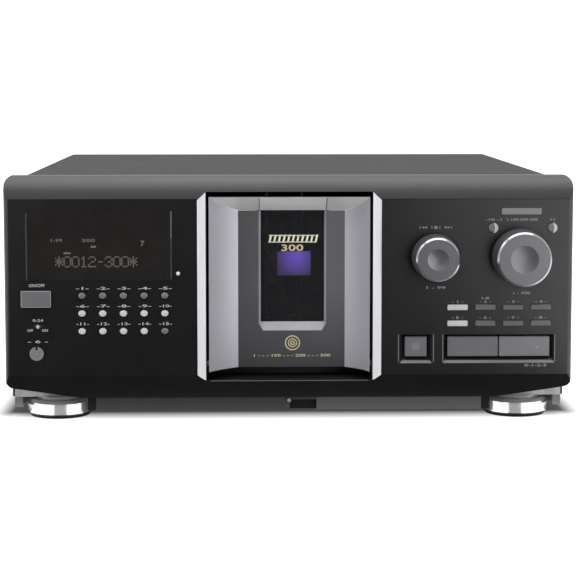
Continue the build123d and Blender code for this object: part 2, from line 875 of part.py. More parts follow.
with BuildPart() as door_rails:
    with BuildSketch(front_plane(panel_wall)):
        for side in (-1, 1):
            with BuildLine():
                Polyline((side * rail_inner, bay_low + rail_fit),
                         (side * rail_outer, bay_low + bay_rise + rail_fit),
                         (side * rail_outer, bay_top - bay_fall - rail_fit),
                         (side * rail_inner, bay_top - rail_fit),
                         (side * rail_inner, bay_low + rail_fit))
            make_face()
    extrude(amount=panel_wall + rail_proud)
    rail_faces = door_rails.faces().sort_by(Axis.Y)[:2]
    chamfer(rail_faces.edges().filter_by(Axis.Z), rail_chamfer)
door_rails.part.label = "door_rails"
export_step(door_rails.part, "parts/door_rails.step")

# ---- door ---------------------------------------------------------------------------------


roof_slope = roof_drop / recess_depth
scoop_y = face_y - door_wall  # the scoop starts before the front face


def door_scoop(grow):
    """The hollow in front of the concave door, or its skin's outside when grown."""
    back = face_y + recess_depth + grow
    left = recess_left - grow
    right = recess_right + grow
    edge = door_half + grow
    roof_front = door_top + grow
    with BuildPart() as scoop:
        with BuildSketch(Plane.XY.offset(door_low - 1)):
            with BuildLine():
                SagittaArc((-edge, face_y), (left, back), recess_sag)
                Line((left, back), (right, back))
                SagittaArc((right, back), (edge, face_y), recess_sag)
                Polyline((edge, face_y), (edge, scoop_y), (-edge, scoop_y), (-edge, face_y))
            make_face()
        extrude(amount=door_top - door_low + grow + 2)
        with BuildSketch(Plane.YZ):
            with BuildLine():
                Polyline((scoop_y, door_low - 1), (back + 1, door_low - 1),
                         (back + 1, roof_front - roof_slope * (back + 1 - face_y)),
                         (face_y, roof_front), (scoop_y, roof_front),
                         (scoop_y, door_low - 1))
            make_face()
        extrude(amount=edge + 1, both=True, mode=Mode.INTERSECT)
    return scoop.part


door_depth = recess_depth + bevel_depth + pane
pane_high_z = door_top - roof_drop
bevel_w = window_w + 2 * bevel_side
window_h = pane_high_z - window_low

with BuildPart() as door_panel:
    # skin of the concave front
    add(door_scoop(door_wall))
    with BuildSketch(Plane.XY.offset(door_low)):
        with Locations((0, face_y)):
            Rectangle(2 * door_half, door_depth, align=(Align.CENTER, Align.MIN))
    extrude(amount=door_top - door_low, mode=Mode.INTERSECT)
    # rims along both sides, and lugs for the hinge pins
    with BuildSketch(Plane.XY.offset(door_low)):
        for side in (-1, 1):
            with Locations((side * (door_half - door_rim / 2), face_y)):
                Rectangle(door_rim, door_rim_depth, align=(Align.CENTER, Align.MIN))
    extrude(amount=door_top - door_low)
    with BuildSketch(Plane.XY.offset(door_low)):
        for side in (-1, 1):
            with Locations((side * (door_half - hinge_lug_w / 2), face_y)):
                Rectangle(hinge_lug_w, hinge_lug_depth, align=(Align.CENTER, Align.MIN))
    extrude(amount=hinge_lug_h)
    # thick pad round the window
    with BuildSketch(front_plane(door_depth)):
        with Locations((window_x, window_low - bevel_low - door_wall)):
            Rectangle(bevel_w + 2 * door_wall, window_h + bevel_low + 2 * door_wall,
                      align=(Align.CENTER, Align.MIN))
    extrude(amount=door_depth - recess_depth)
    add(door_scoop(0), mode=Mode.SUBTRACT)
    # bevelled window opening, then a straight seat for the pane
    with BuildSketch(front_plane(recess_depth, window_x)):
        with Locations((0, window_low - bevel_low)):
            Rectangle(bevel_w, window_h + bevel_low, align=(Align.CENTER, Align.MIN))
    with BuildSketch(front_plane(recess_depth + bevel_depth, window_x)):
        with Locations((0, window_low)):
            Rectangle(window_w, window_h, align=(Align.CENTER, Align.MIN))
    loft(ruled=True, mode=Mode.SUBTRACT)
    with BuildSketch(front_plane(door_depth, window_x)):
        with Locations((0, window_low)):
            Rectangle(window_w, window_h, align=(Align.CENTER, Align.MIN))
    extrude(amount=pane + pane_fit, mode=Mode.SUBTRACT)
    # grooves that set off the middle of the roof
    for side in (-1, 1):
        groove_x = window_x + side * (window_w / 2 + groove_side)
        with BuildSketch(side_plane(groove_x - roof_groove / 2)):
            near = (face_y + groove_start, door_top - groove_start * roof_slope)
            far = (face_y + recess_depth + lap_gap,
                   door_top - roof_slope * (recess_depth + lap_gap))
            Polygon((near[0], near[1] - lap_gap), (far[0], far[1] - lap_gap),
                    (far[0], far[1] + roof_groove), (near[0], near[1] + roof_groove), align=None)
        extrude(amount=roof_groove, mode=Mode.SUBTRACT)
    # hinge pins
    for side in (-1, 1):
        with BuildSketch(side_plane(side * (door_half - pin_root), hinge_y, hinge_z)):
            Circle(pin_r)
        extrude(amount=side * (cheek_x + cheek_wall - lap_gap - door_half + pin_root))
door_panel.part.label = "door_panel"
export_step(door_panel.part, "parts/door_panel.step")

with BuildPart() as door_window:
    with BuildSketch(front_plane(door_depth, window_x)):
        with Locations((0, window_low + pane_fit)):
            Rectangle(window_w - 2 * pane_fit, window_h - 2 * pane_fit,
                      align=(Align.CENTER, Align.MIN))
    extrude(amount=pane)
door_window.part.label = "door_window"
export_step(door_window.part, "parts/door_window.step")

# ---- display ------------------------------------------------------------------------------

with BuildPart() as display_window:
    with BuildSketch(front_plane(panel_wall, display_x, display_z)):
        RectangleRounded(display_w, display_h, display_r)
    extrude(amount=panel_wall - display_recess)
    with BuildSketch(front_plane(panel_wall + display_lip_t, display_x, display_z)):
        RectangleRounded(display_w + 2 * display_lip, display_h + 2 * display_lip, display_r)
    extrude(amount=display_lip_t)
display_window.part.label = "display_window"
export_step(display_window.part, "parts/display_window.step")

with BuildPart() as display_tube:
    with BuildSketch(front_plane(board_depth, display_x, display_z)):
        RectangleRounded(tube_w, tube_h, tube_r)
    extrude(amount=board_depth - tube_front)
    chamfer(display_tube.faces().sort_by(Axis.Y)[0].edges(), tube_edge)
display_tube.part.label = "display_tube"
export_step(display_tube.part, "parts/display_tube.step")

# ---- push keys ----------------------------------------------------------------------------

stem_end = switch_tip - travel - stem_gap


def push_key(outline, lip_outline, face, seat, crown):
    """A key: cap through its hole, flange behind the wall and a stem to its switch."""
    with BuildPart() as key:
        with BuildSketch(front_plane(seat + key_gap)):
            add(outline)
        extrude(amount=seat + key_gap - face)
        chamfer(key.faces().sort_by(Axis.Y)[0].edges(), crown)
        with BuildSketch(front_plane(seat + key_gap + flange_t)):
            add(lip_outline)
        extrude(amount=flange_t)
        centre = key.faces().sort_by(Axis.Y)[0].center()
        with BuildSketch(front_plane(stem_end, centre.X, centre.Z)):
            Circle(stem_r)
        extrude(amount=stem_end - seat - key_gap - flange_t)
    return key.part


def round_outline(x, z, r):
    """Round key outline, in the front plane's own coordinates."""
    with BuildSketch() as outline:
        with Locations((x, z)):
            Circle(r)
    return outline.sketch


def box_outline(x, z, w, h, r):
    """Oblong key outline, in the front plane's own coordinates."""
    with BuildSketch() as outline:
        with Locations((x, z)):
            RectangleRounded(w, h, r)
    return outline.sketch


for number, (x, z) in enumerate(round_keys, start=1):
    name = f"round_key_{number:02d}"
    round_key = push_key(round_outline(x, z, round_key_r),
                         round_outline(x, z, round_key_r + flange_lip),
                         -round_key_proud, panel_wall, key_crown)
    round_key.label = name
    export_step(round_key, f"parts/{name}.step")

for number, (x, z) in enumerate(bar_keys, start=1):
    name = f"bar_key_{number}"
    bar_key = push_key(box_outline(x, z, bar_key_w, bar_key_h, key_corner_r),
                       box_outline(x, z, bar_key_w + 2 * flange_lip,
                                   bar_key_h + 2 * flange_lip, lip_corner_r),
                       -bar_key_proud, panel_wall, key_crown)
    bar_key.label = name
    export_step(bar_key, f"parts/{name}.step")

for name, (x, z) in skip_keys.items():
    skip_key = push_key(round_outline(x, z, skip_key_r),
                        round_outline(x, z, skip_key_r + flange_lip),
                        -round_key_proud, panel_wall, key_crown)
    skip_key.label = name
    export_step(skip_key, f"parts/{name}.step")

power_key = push_key(box_outline(power_x, power_z, power_w, power_h, key_corner_r),
                     box_outline(power_x, power_z, power_w + 2 * flange_lip,
                                 power_h + 2 * flange_lip, lip_corner_r),
                     -power_proud, panel_wall, large_key_crown)
power_key.label = "power_key"
export_step(power_key, "parts/power_key.step")

for name, (x, w) in transport_keys.items():
    reach = w + 2 * flange_lip if name == "stop_key" else w
    transport_key = push_key(box_outline(x, transport_z, w, transport_h, key_corner_r),
                             box_outline(x, transport_z, reach, transport_h + 2 * flange_lip,
                                         lip_corner_r),
                             transport_face, panel_wall + pocket_depth, key_crown)
    transport_key.label = name
    export_step(transport_key, f"parts/{name}.step")

# ---- timer switch and keyboard socket -----------------------------------------------------

with BuildPart() as timer_slider:
    with BuildSketch(front_plane(panel_wall + key_gap, slider_x, slider_z)):
        Rectangle(slider_w, slider_h)
    extrude(amount=panel_wall + key_gap + slider_proud)
    with BuildSketch(front_plane(panel_wall + key_gap + flange_t, slider_x, slider_z)):
        Rectangle(slider_w + 4 * slider_throw + 2 * slider_lip, slider_h + 2 * slider_lip)
    extrude(amount=flange_t)
    with BuildSketch(front_plane(panel_wall + slider_tail, slider_x, slider_z)):
        Rectangle(slider_w, slider_h)
    extrude(amount=slider_tail - key_gap - flange_t)
timer_slider.part.label = "timer_slider"
export_step(timer_slider.part, "parts/timer_slider.step")

with BuildPart() as keyboard_socket:
    with BuildSketch(front_plane(panel_wall, socket_x, socket_z)):
        Circle(socket_r)
    extrude(amount=panel_wall + socket_proud)
    with BuildSketch(front_plane(board_depth, socket_x, socket_z)):
        Circle(socket_r + socket_shoulder)
    extrude(amount=board_depth - panel_wall)
    # ring groove, key slot and six contact holes
    with BuildSketch(front_plane(-socket_proud, socket_x, socket_z)):
        Circle(socket_groove_r)
        Circle(socket_groove_r - socket_groove_w, mode=Mode.SUBTRACT)
        with Locations((0, socket_slot_z)):
            Rectangle(socket_slot_w, socket_slot_h)
        with PolarLocations(contact_ring_r, contact_count, start_angle=30):
            Circle(contact_r)
    extrude(amount=-socket_deep, mode=Mode.SUBTRACT)
keyboard_socket.part.label = "keyboard_socket"
export_step(keyboard_socket.part, "parts/keyboard_socket.step")

# ---- knobs and their shafts ---------------------------------------------------------------


def turned_knob(x, base_r, dish_r):
    """A slightly tapered knob with a bevelled rim, a dished face and a blind bore."""
    axis_plane = Plane(origin=(x, face_y, knob_z), x_dir=(1, 0, 0), z_dir=(0, 0, 1))
    front_r = base_r - knob_taper
    bore_r = shaft_r + spin_fit
    bore_end = knob_cap - knob_proud
    with BuildPart() as knob:
        with BuildSketch(axis_plane):
            with BuildLine():
                Polyline((0, dish_depth - knob_proud), (0, bore_end), (bore_r, bore_end),
                         (bore_r, -knob_back), (base_r, -knob_back),
                         (front_r, knob_rim - knob_proud), (front_r - knob_rim, -knob_proud),
                         (dish_r, -knob_proud))
                TangentArc((0, dish_depth - knob_proud), (dish_r, -knob_proud), tangent=(1, 0))
            make_face()
        revolve(axis=Axis((x, face_y, knob_z), (0, 1, 0)))
    return knob.part


encoder_front = board_depth - encoder_t
shaft_end = encoder_front + encoder_bore - travel - shaft_room
collar_end = encoder_front - travel - shaft_room


def knob_shaft(x):
    """A shaft from the knob's bore into the encoder, free to slide by the push travel."""
    with BuildPart() as shaft:
        with BuildSketch(front_plane(shaft_end, x, knob_z)):
            Circle(shaft_r)
        extrude(amount=shaft_end + knob_proud - knob_cap - shaft_room)
        with BuildSketch(front_plane(collar_end, x, knob_z)):
            Circle(shaft_collar_r)
        extrude(amount=shaft_collar_t)
    return shaft.part


for label, x, base_r, dish_r in (("track", track_knob_x, track_r, track_dish_r),
                                 ("disc", disc_knob_x, disc_r, disc_dish_r)):
    knob_part = turned_knob(x, base_r, dish_r)
    knob_part.label = f"{label}_knob"
    export_step(knob_part, f"parts/{label}_knob.step")
    shaft_part = knob_shaft(x)
    shaft_part.label = f"{label}_shaft"
    export_step(shaft_part, f"parts/{label}_shaft.step")

# ---- circuit boards -----------------------------------------------------------------------

board_high = brow_z - board_drop
key_places = round_keys + bar_keys + list(skip_keys.values())
key_places += [(power_x, power_z)] + [(x, transport_z) for x, w in transport_keys.values()]

with BuildPart() as circuit_boards:
    # front boards, one each side of the door
    with BuildSketch(front_plane(board_depth + board_t)):
        for side in (-1, 1):
            with Locations((side * (board_inner + board_outer) / 2, board_low)):
                Rectangle(board_outer - board_inner, board_high - board_low,
                          align=(Align.CENTER, Align.MIN))
    extrude(amount=board_t)
    # a push switch behind each key
    with BuildSketch(front_plane(board_depth)):
        with Locations(*key_places):
            Rectangle(switch_size, switch_size)
    extrude(amount=board_depth - switch_tip - switch_collar)
    with BuildSketch(front_plane(board_depth)):
        with Locations(*key_places):
            Circle(stem_r + lap_gap)
    extrude(amount=board_depth - switch_tip)
    # slide switch, encoders and the main chip
    with BuildSketch(front_plane(board_depth, slider_x, slider_z)):
        Rectangle(slide_switch_w, slide_switch_h)
    extrude(amount=board_depth - panel_wall - slider_tail - lap_gap)
    with BuildSketch(front_plane(board_depth)):
        with Locations(*[(x, knob_z) for x, r in knobs]):
            Rectangle(encoder_w, encoder_w)
    extrude(amount=board_depth - encoder_front)
    with BuildSketch(front_plane(encoder_front)):
        with Locations(*[(x, knob_z) for x, r in knobs]):
            Circle(shaft_r + key_gap)
    extrude(amount=-encoder_bore, mode=Mode.SUBTRACT)
    # main board upright at the back, with its chips
    with BuildSketch(Plane.XZ.offset(-rear_board_y)):
        with Locations((-half + main_board_left, main_board_low)):
            Rectangle(main_board_w, main_board_h, align=(Align.MIN, Align.MIN))
    extrude(amount=board_t)
    with BuildSketch(Plane.XZ.offset(-rear_board_y + board_t)):
        with Locations((-half + chips_left, chips_z)):
            with GridLocations(chip_pitch, 0, chip_count, 1):
                Rectangle(chip_w, chip_h)
        with Locations((-half + capacitors_left, capacitors_z)):
            with GridLocations(capacitor_pitch_x, capacitor_pitch_z, 4, 2):
                Circle(capacitor_r)
    extrude(amount=chip_t)
circuit_boards.part.label = "circuit_boards"
export_step(circuit_boards.part, "parts/circuit_boards.step")

# ---- turning table and its drive ----------------------------------------------------------


def on_circle(r, angle, x=0.0, y=0.0):
    """Point at an angle on a circle."""
    return (x + r * cos(angle), y + r * sin(angle))


def gear_points(teeth, direction, gap_there):
    """Outline of an involute gear with a tooth, or a gap, centred in a direction."""
    pitch_r = gear_module * teeth / 2
    base_r = pitch_r * cos(gear_pressure)
    root_r = pitch_r - gear_dedendum * gear_module
    tip_r = pitch_r + gear_addendum * gear_module
    step = 2 * pi / teeth
    half_tooth = (pi * gear_module - gear_backlash) / (4 * pitch_r)
    start = direction + (step / 2 if gap_there else 0)
    flank = []
    for share in (0, 0.45, 0.75, 1):
        r = root_r + share * (tip_r - root_r)
        lean = acos(min(1, base_r / r))
        spread = tan(gear_pressure) - gear_pressure - tan(lean) + lean
        flank.append((r, half_tooth + spread))
    points = []
    for tooth in range(teeth):
        middle = start + tooth * step
        points += [on_circle(r, middle - angle) for r, angle in flank]
        points += [on_circle(r, middle + angle) for r, angle in reversed(flank)]
    return points


def comb_points(base_r, tip_r):
    """Outline of a ring of thin teeth, one between every two disc slots."""
    step = 2 * pi / comb_slots
    points = []
    for slot in range(comb_slots):
        near = slot * step
        far = near + comb_tooth * step
        points += [on_circle(base_r, near), on_circle(tip_r, near),
                   on_circle(tip_r, far), on_circle(base_r, far)]
    return points


outer_comb_r = table_r - outer_comb_rim
inner_comb_r = table_hole_r + inner_comb_rim

with BuildPart() as carousel:
    # toothed floor
    with BuildSketch(Plane.XY.offset(table_z)):
        with Locations((0, table_y)):
            Polygon(*gear_points(table_teeth, pinion_side, False), align=None)
            Circle(table_hole_r, mode=Mode.SUBTRACT)
    extrude(amount=table_floor)
    # outer comb, its slots open inwards
    with BuildSketch(Plane.XY.offset(table_top)):
        with Locations((0, table_y)):
            Circle(outer_comb_r + comb_wall)
            Polygon(*comb_points(outer_comb_r, outer_comb_r - comb_depth), align=None,
                    mode=Mode.SUBTRACT)
    extrude(amount=outer_comb_h)
    # inner comb, its slots open outwards
    with BuildSketch(Plane.XY.offset(table_top)):
        with Locations((0, table_y)):
            Polygon(*comb_points(inner_comb_r, inner_comb_r + comb_depth), align=None)
            Circle(inner_comb_r - comb_wall, mode=Mode.SUBTRACT)
    extrude(amount=inner_comb_h)
carousel.part.label = "carousel"
export_step(carousel.part, "parts/carousel.step")

with BuildPart() as table_pinion:
    with BuildSketch(Plane.XY.offset(table_z)):
        with Locations((pinion_x, pinion_y)):
            Polygon(*gear_points(pinion_teeth, pinion_side + pi, True), align=None)
            Circle(axle_r + spin_fit, mode=Mode.SUBTRACT)
    extrude(amount=gear_height)
table_pinion.part.label = "table_pinion"
export_step(table_pinion.part, "parts/table_pinion.step")

with BuildPart() as mechanism_base:
    # round tray with a hub ring that guides the table's inner rim
    with BuildSketch(Plane.XY.offset(floor_z)):
        with Locations((0, table_y)):
            Circle(tray_r)
    extrude(amount=tray_wall)
    with BuildSketch(Plane.XY.offset(tray_top)):
        with Locations((0, table_y)):
            Circle(table_hole_r - lap_gap)
            Circle(hub_ring_r, mode=Mode.SUBTRACT)
    extrude(amount=hub_ring_top - tray_top)
    # carriers under the table
    with BuildSketch(Plane.XY.offset(tray_top)):
        with Locations((0, table_y)):
            with PolarLocations(carrier_ring_r, carrier_count):
                SlotOverall(carrier_len, carrier_w, rotation=90)
    extrude(amount=table_z - lap_gap - tray_top)
mechanism_base.part.label = "mechanism_base"
export_step(mechanism_base.part, "parts/mechanism_base.step")

# ---- player deck --------------------------------------------------------------------------

pivot_y = table_y + arm_len
lever_pin = (table_y + lever_y, lever_z)
lug_places = [(table_y + y, spindle_z + z) for y in sled_lugs_y for z in sled_rails_z]

with BuildPart() as deck_frame:
    with BuildSketch(Plane.XY.offset(tray_top)):
        with Locations((0, table_y)):
            Circle(deck_half)
    extrude(amount=deck_wall)
    for side in (-1, 1):
        with BuildSketch(side_plane(side * (plate_x + deck_wall / 2) - deck_wall / 2)):
            with Locations((table_y, tray_top + deck_wall)):
                Rectangle(deck_len, deck_top - tray_top - deck_wall,
                          align=(Align.CENTER, Align.MIN))
        extrude(amount=deck_wall)
    # bridge over the discs
    with BuildSketch(Plane.XY.offset(deck_top - bridge_t)):
        with Locations((0, table_y)):
            Rectangle(2 * plate_x, bridge_w)
    extrude(amount=bridge_t)
    # front lugs that hold the sled's rails
    with BuildSketch(side_plane(-plate_x)):
        with Locations(*lug_places):
            Rectangle(sled_lug_w, sled_lug_h)
    extrude(amount=sled_lug_out)
    # the rails
    for rail_z in sled_rails_z:
        rail_start = (-plate_x + sled_rail_in, table_y + sled_lugs_y[0], spindle_z + rail_z)
        with BuildSketch(Plane(origin=rail_start, z_dir=(0, 1, 0))):
            Circle(sled_rail_r)
        extrude(amount=sled_lugs_y[1] - sled_lugs_y[0])
    # lugs of the clamp arm's pivot
    for low in (spindle_z - arm_z_half - arm_lug_t - lap_gap, spindle_z + arm_z_half + lap_gap):
        with BuildSketch(Plane.XY.offset(low)):
            with Locations((plate_x, pivot_y)):
                Rectangle(2 * arm_in, arm_lug_w, align=(Align.MAX, Align.CENTER))
            with Locations((plate_x - arm_in, pivot_y)):
                Circle(arm_pin_r + spin_fit, mode=Mode.SUBTRACT)
        extrude(amount=arm_lug_t)
    # holes for the spindle shaft and the lever's pin
    with BuildSketch(side_plane(0)):
        with Locations((table_y, spindle_z)):
            Circle(spindle_shaft_r + spin_fit)
    extrude(amount=-plate_x - deck_wall - 1, mode=Mode.SUBTRACT)
    with BuildSketch(side_plane(0)):
        with Locations(lever_pin):
            Circle(pin_r + spin_fit)
    extrude(amount=plate_x + deck_wall + 1, both=True, mode=Mode.SUBTRACT)
deck_frame.part.label = "deck_frame"
export_step(deck_frame.part, "parts/deck_frame.step")

turntable_face = -disc_side

with BuildPart() as disc_spindle:
    with BuildSketch(side_plane(turntable_face, table_y, spindle_z)):
        Circle(turntable_r)
    extrude(amount=-turntable_t)
    with BuildSketch(side_plane(turntable_face, table_y, spindle_z)):
        Circle(disc_boss_r)
    extrude(amount=disc_boss_h, taper=disc_boss_taper)
    with BuildSketch(side_plane(-plate_x + lap_gap, table_y, spindle_z)):
        Circle(spindle_hub_r)
    extrude(amount=plate_x - disc_side - turntable_t - lap_gap)
    with BuildSketch(side_plane(-plate_x - deck_wall - spindle_shaft_in, table_y, spindle_z)):
        Circle(spindle_shaft_r)
    extrude(amount=deck_wall + spindle_shaft_in + 1)
disc_spindle.part.label = "disc_spindle"
export_step(disc_spindle.part, "parts/disc_spindle.step")

with BuildPart() as pickup_sled:
    sled_y = table_y - sled_start
    with BuildSketch(side_plane(-plate_x + sled_gap, sled_y, spindle_z)):
        RectangleRounded(sled_len, sled_h, sled_corner_r)
    extrude(amount=sled_t)
    with BuildSketch(side_plane(-plate_x + sled_gap + sled_t, sled_y, spindle_z)):
        Circle(sled_lens_r)
    extrude(amount=sled_lens_t)
    for rail_z in sled_rails_z:
        bore_start = (-plate_x + sled_rail_in, sled_y - sled_len, spindle_z + rail_z)
        with BuildSketch(Plane(origin=bore_start, z_dir=(0, 1, 0))):
            Circle(sled_rail_r + spin_fit)
        extrude(amount=2 * sled_len, mode=Mode.SUBTRACT)
pickup_sled.part.label = "pickup_sled"
export_step(pickup_sled.part, "parts/pickup_sled.step")

with BuildPart() as clamp_arm:
    with BuildSketch(side_plane(plate_x - arm_in - arm_t / 2)):
        with Locations((pivot_y - arm_len / 2, spindle_z)):
            SlotCenterToCenter(arm_len, 2 * arm_z_half)
    extrude(amount=arm_t)
    with BuildSketch(side_plane(disc_side, table_y, spindle_z)):
        Circle(clamp_r)
    extrude(amount=plate_x - arm_in - arm_t / 2 - disc_side)
    with BuildSketch(Plane.XY.offset(spindle_z - arm_z_half - arm_lug_t)):
        with Locations((plate_x - arm_in, pivot_y)):
            Circle(arm_pin_r)
    extrude(amount=2 * (arm_z_half + arm_lug_t))
clamp_arm.part.label = "clamp_arm"
export_step(clamp_arm.part, "parts/clamp_arm.step")

with BuildPart() as lift_lever:
    tip = (table_y + lever_tip_y, lever_tip_z)
    lever_mid = ((lever_pin[0] + tip[0]) / 2, (lever_pin[1] + tip[1]) / 2)
    lever_run = Vector(tip[0] - lever_pin[0], tip[1] - lever_pin[1])
    with BuildSketch(side_plane(-lever_t / 2)):
        with Locations(lever_mid):
            SlotCenterToCenter(lever_run.length, lever_w,
                               rotation=degrees(atan2(lever_run.Y, lever_run.X)))
    extrude(amount=lever_t)
    with BuildSketch(side_plane(0, *lever_pin)):
        Circle(pin_r)
    extrude(amount=plate_x + deck_wall, both=True)
lift_lever.part.label = "lift_lever"
export_step(lift_lever.part, "parts/lift_lever.step")

# ---- motors -------------------------------------------------------------------------------

drive_arm = pinion_arm + drive_run
door_drive_x = cheek_x + cheek_wall + lap_gap
drive_x, drive_y = on_circle(drive_arm, pinion_side, 0, table_y)

with BuildPart() as motors:
    # table drive: gearbox under the pinion, its axle and an upright motor
    with BuildSketch(Plane.XY.offset(floor_z)):
        with Locations(((pinion_x + drive_x) / 2, (pinion_y + drive_y) / 2)):
            SlotCenterToCenter(drive_run, gearbox_w, rotation=degrees(pinion_side))
        with Locations((0, table_y)):
            Circle(tray_r + lap_gap, mode=Mode.SUBTRACT)
    extrude(amount=table_z - lap_gap - floor_z)
    with BuildSketch(Plane.XY.offset(floor_z + 1)):
        with Locations((pinion_x, pinion_y)):
            Circle(axle_r)
    extrude(amount=table_z + gear_height + 1 - floor_z - 1)
    with BuildSketch(Plane.XY.offset(table_z - lap_gap)):
        with Locations((drive_x, drive_y)):
            Circle(table_motor_r)
    extrude(amount=table_motor_h)
    # spindle motor on the deck's left plate
    with BuildSketch(side_plane(-plate_x - deck_wall, table_y, spindle_z)):
        Circle(spindle_motor_r)
        Circle(spindle_shaft_r + spin_fit, mode=Mode.SUBTRACT)
    extrude(amount=-spindle_motor_h)
    # loading motor on the deck's right plate
    with BuildSketch(side_plane(plate_x + deck_wall, table_y + loading_motor_y,
                                loading_motor_z)):
        Circle(loading_motor_r)
    extrude(amount=loading_motor_h)
    # door drive beside the frame: a gearbox and its motor
    with BuildSketch(front_plane(door_drive_back)):
        with Locations((door_drive_x, door_drive_z)):
            Rectangle(door_drive_w, door_drive_h, align=(Align.MIN, Align.CENTER))
    extrude(amount=door_drive_back - door_drive_front)
    with BuildSketch(front_plane(door_drive_back + door_motor_len)):
        with Locations((door_drive_x + door_drive_w - door_motor_r, door_drive_z)):
            Circle(door_motor_r)
    extrude(amount=door_motor_len)
motors.part.label = "motors"
export_step(motors.part, "parts/motors.step")

# ---- transformer --------------------------------------------------------------------------

transformer_x = half - transformer_gap - transformer_w / 2
transformer_y = back_y - transformer_gap - transformer_d / 2

with BuildPart() as transformer:
    with Locations((transformer_x, transformer_y, floor_z)):
        Box(transformer_w - 2 * core_side, transformer_d, transformer_h,
            align=(Align.CENTER, Align.CENTER, Align.MIN))
    with Locations((transformer_x, transformer_y, floor_z + core_low)):
        Box(transformer_w, transformer_d - 2 * core_end, transformer_h - 2 * core_low,
            align=(Align.CENTER, Align.CENTER, Align.MIN))
    fillet(transformer.edges().filter_by(Axis.Z), transformer_edge)
transformer.part.label = "transformer"
export_step(transformer.part, "parts/transformer.step")

# ---- screws -------------------------------------------------------------------------------

with BuildPart() as screws:
    for places, seat_y in ((back_low_screws, back_y), (back_top_screws, back_y + sheet)):
        with BuildSketch(Plane.XZ.offset(-seat_y - screw_head_t)):
            with Locations(*places):
                Circle(screw_head_r)
        extrude(amount=screw_head_t)
        with BuildSketch(Plane.XZ.offset(-seat_y)):
            with Locations(*places):
                Circle(screw_shank_r)
        extrude(amount=screw_len)
    for side in (-1, 1):
        with BuildSketch(side_plane(side * cover_half)):
            with Locations(*[(y, side_screw_z) for y in side_screw_y]):
                Circle(screw_head_r)
        extrude(amount=side * screw_head_t)
        with BuildSketch(side_plane(side * cover_half)):
            with Locations(*[(y, side_screw_z) for y in side_screw_y]):
                Circle(screw_shank_r)
        extrude(amount=-side * screw_len)
    # small screw in the kick strip
    with BuildSketch(front_plane(kick_back, 0, kick_screw_z)):
        Circle(kick_screw_r)
    extrude(amount=screw_head_t)
    with BuildSketch(front_plane(kick_back, 0, kick_screw_z)):
        Circle(screw_shank_r)
    extrude(amount=-screw_len)
screws.part.label = "screws"
export_step(screws.part, "parts/screws.step")
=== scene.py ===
import bmesh
import bpy
import json
from math import asin, atan2, cos, pi, radians, sin, tau
from mathutils import Matrix, Vector

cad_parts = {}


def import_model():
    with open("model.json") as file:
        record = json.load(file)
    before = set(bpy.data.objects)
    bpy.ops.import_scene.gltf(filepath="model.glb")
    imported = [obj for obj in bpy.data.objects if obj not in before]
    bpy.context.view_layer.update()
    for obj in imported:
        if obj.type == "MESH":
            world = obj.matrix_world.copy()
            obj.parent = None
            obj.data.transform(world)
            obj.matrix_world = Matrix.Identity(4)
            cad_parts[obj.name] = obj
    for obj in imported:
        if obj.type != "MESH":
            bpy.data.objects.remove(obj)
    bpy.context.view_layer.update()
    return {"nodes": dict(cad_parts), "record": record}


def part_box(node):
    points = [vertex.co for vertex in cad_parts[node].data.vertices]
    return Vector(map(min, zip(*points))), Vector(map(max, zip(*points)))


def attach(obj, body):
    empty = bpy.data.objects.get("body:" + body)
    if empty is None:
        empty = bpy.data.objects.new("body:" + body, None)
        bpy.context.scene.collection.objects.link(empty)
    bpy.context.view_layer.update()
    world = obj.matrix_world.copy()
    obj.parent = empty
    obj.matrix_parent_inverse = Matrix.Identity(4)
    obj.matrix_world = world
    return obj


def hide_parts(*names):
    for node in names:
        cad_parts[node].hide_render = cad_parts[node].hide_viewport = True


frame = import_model()

mm = 0.001

# ---- places and sizes from the frame, in millimetres ----------------------------------------


def size_of(node):
    """Lowest and highest corner of a CAD node, in millimetres."""
    low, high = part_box(node)
    return low / mm, high / mm


def middle_of(node):
    """Middle of a CAD node, in millimetres."""
    low, high = size_of(node)
    return (low + high) / 2


pane_set_back, hollow_depth = 0.3, 24.0
face_y = size_of("display_window")[0].y - pane_set_back  # the front panel's flat face
back_y = size_of("back_panel")[1].y  # the back panel's outer face
recess_y = face_y + hollow_depth  # the flat face at the bottom of the door's hollow
ink = 0.05  # thickness of printed marks
over_top = 200.0  # a height above the whole changer
foot_top, foot_neck, foot_lip = 13.6, 2.1, 3.2
runner_top = 15.9  # the runners under the base, darkened with painted shade
brow_foot = 170.8  # the brow starts here and leans back up to the ridge
kick_top = 18.6  # the kick strip shows below the front panel's lower edge; its grey there is painted light
knob_taper, knob_bevel = 1.2, 1.2
roof_front, roof_slope = 172.0, 11.5 / hollow_depth  # the door's roof: its height at the face, and its fall
roof_middle = (-22.7, 28.5)  # the roof's two seams


# ---- colours and finishes -------------------------------------------------------------------


def paint(red, green=None, blue=None):
    """A display colour of 0 to 255 as the linear colour that a shader takes."""
    levels = [red, red if green is None else green, red if blue is None else blue]
    linear = [c / 255 / 12.92 if c <= 10 else ((c / 255 + 0.055) / 1.055) ** 2.4 for c in levels]
    return (*linear, 1.0)


def finish(name, colour, roughness, metallic=0.0, gloss=0.5):
    """A new material, with its node tree and its shader."""
    material = bpy.data.materials.new(name)
    material.use_nodes = True
    tree = material.node_tree
    shader = tree.nodes["Principled BSDF"]
    shader.inputs["Base Color"].default_value = colour
    shader.inputs["Roughness"].default_value = roughness
    shader.inputs["Metallic"].default_value = metallic
    shader.inputs["Specular IOR Level"].default_value = gloss
    material.diffuse_color = colour
    return material, tree, shader


def fed(tree, value, socket):
    """Gives a socket a number, a colour or what another node puts out."""
    if isinstance(value, bpy.types.NodeSocket):
        tree.links.new(value, socket)
    else:
        socket.default_value = value


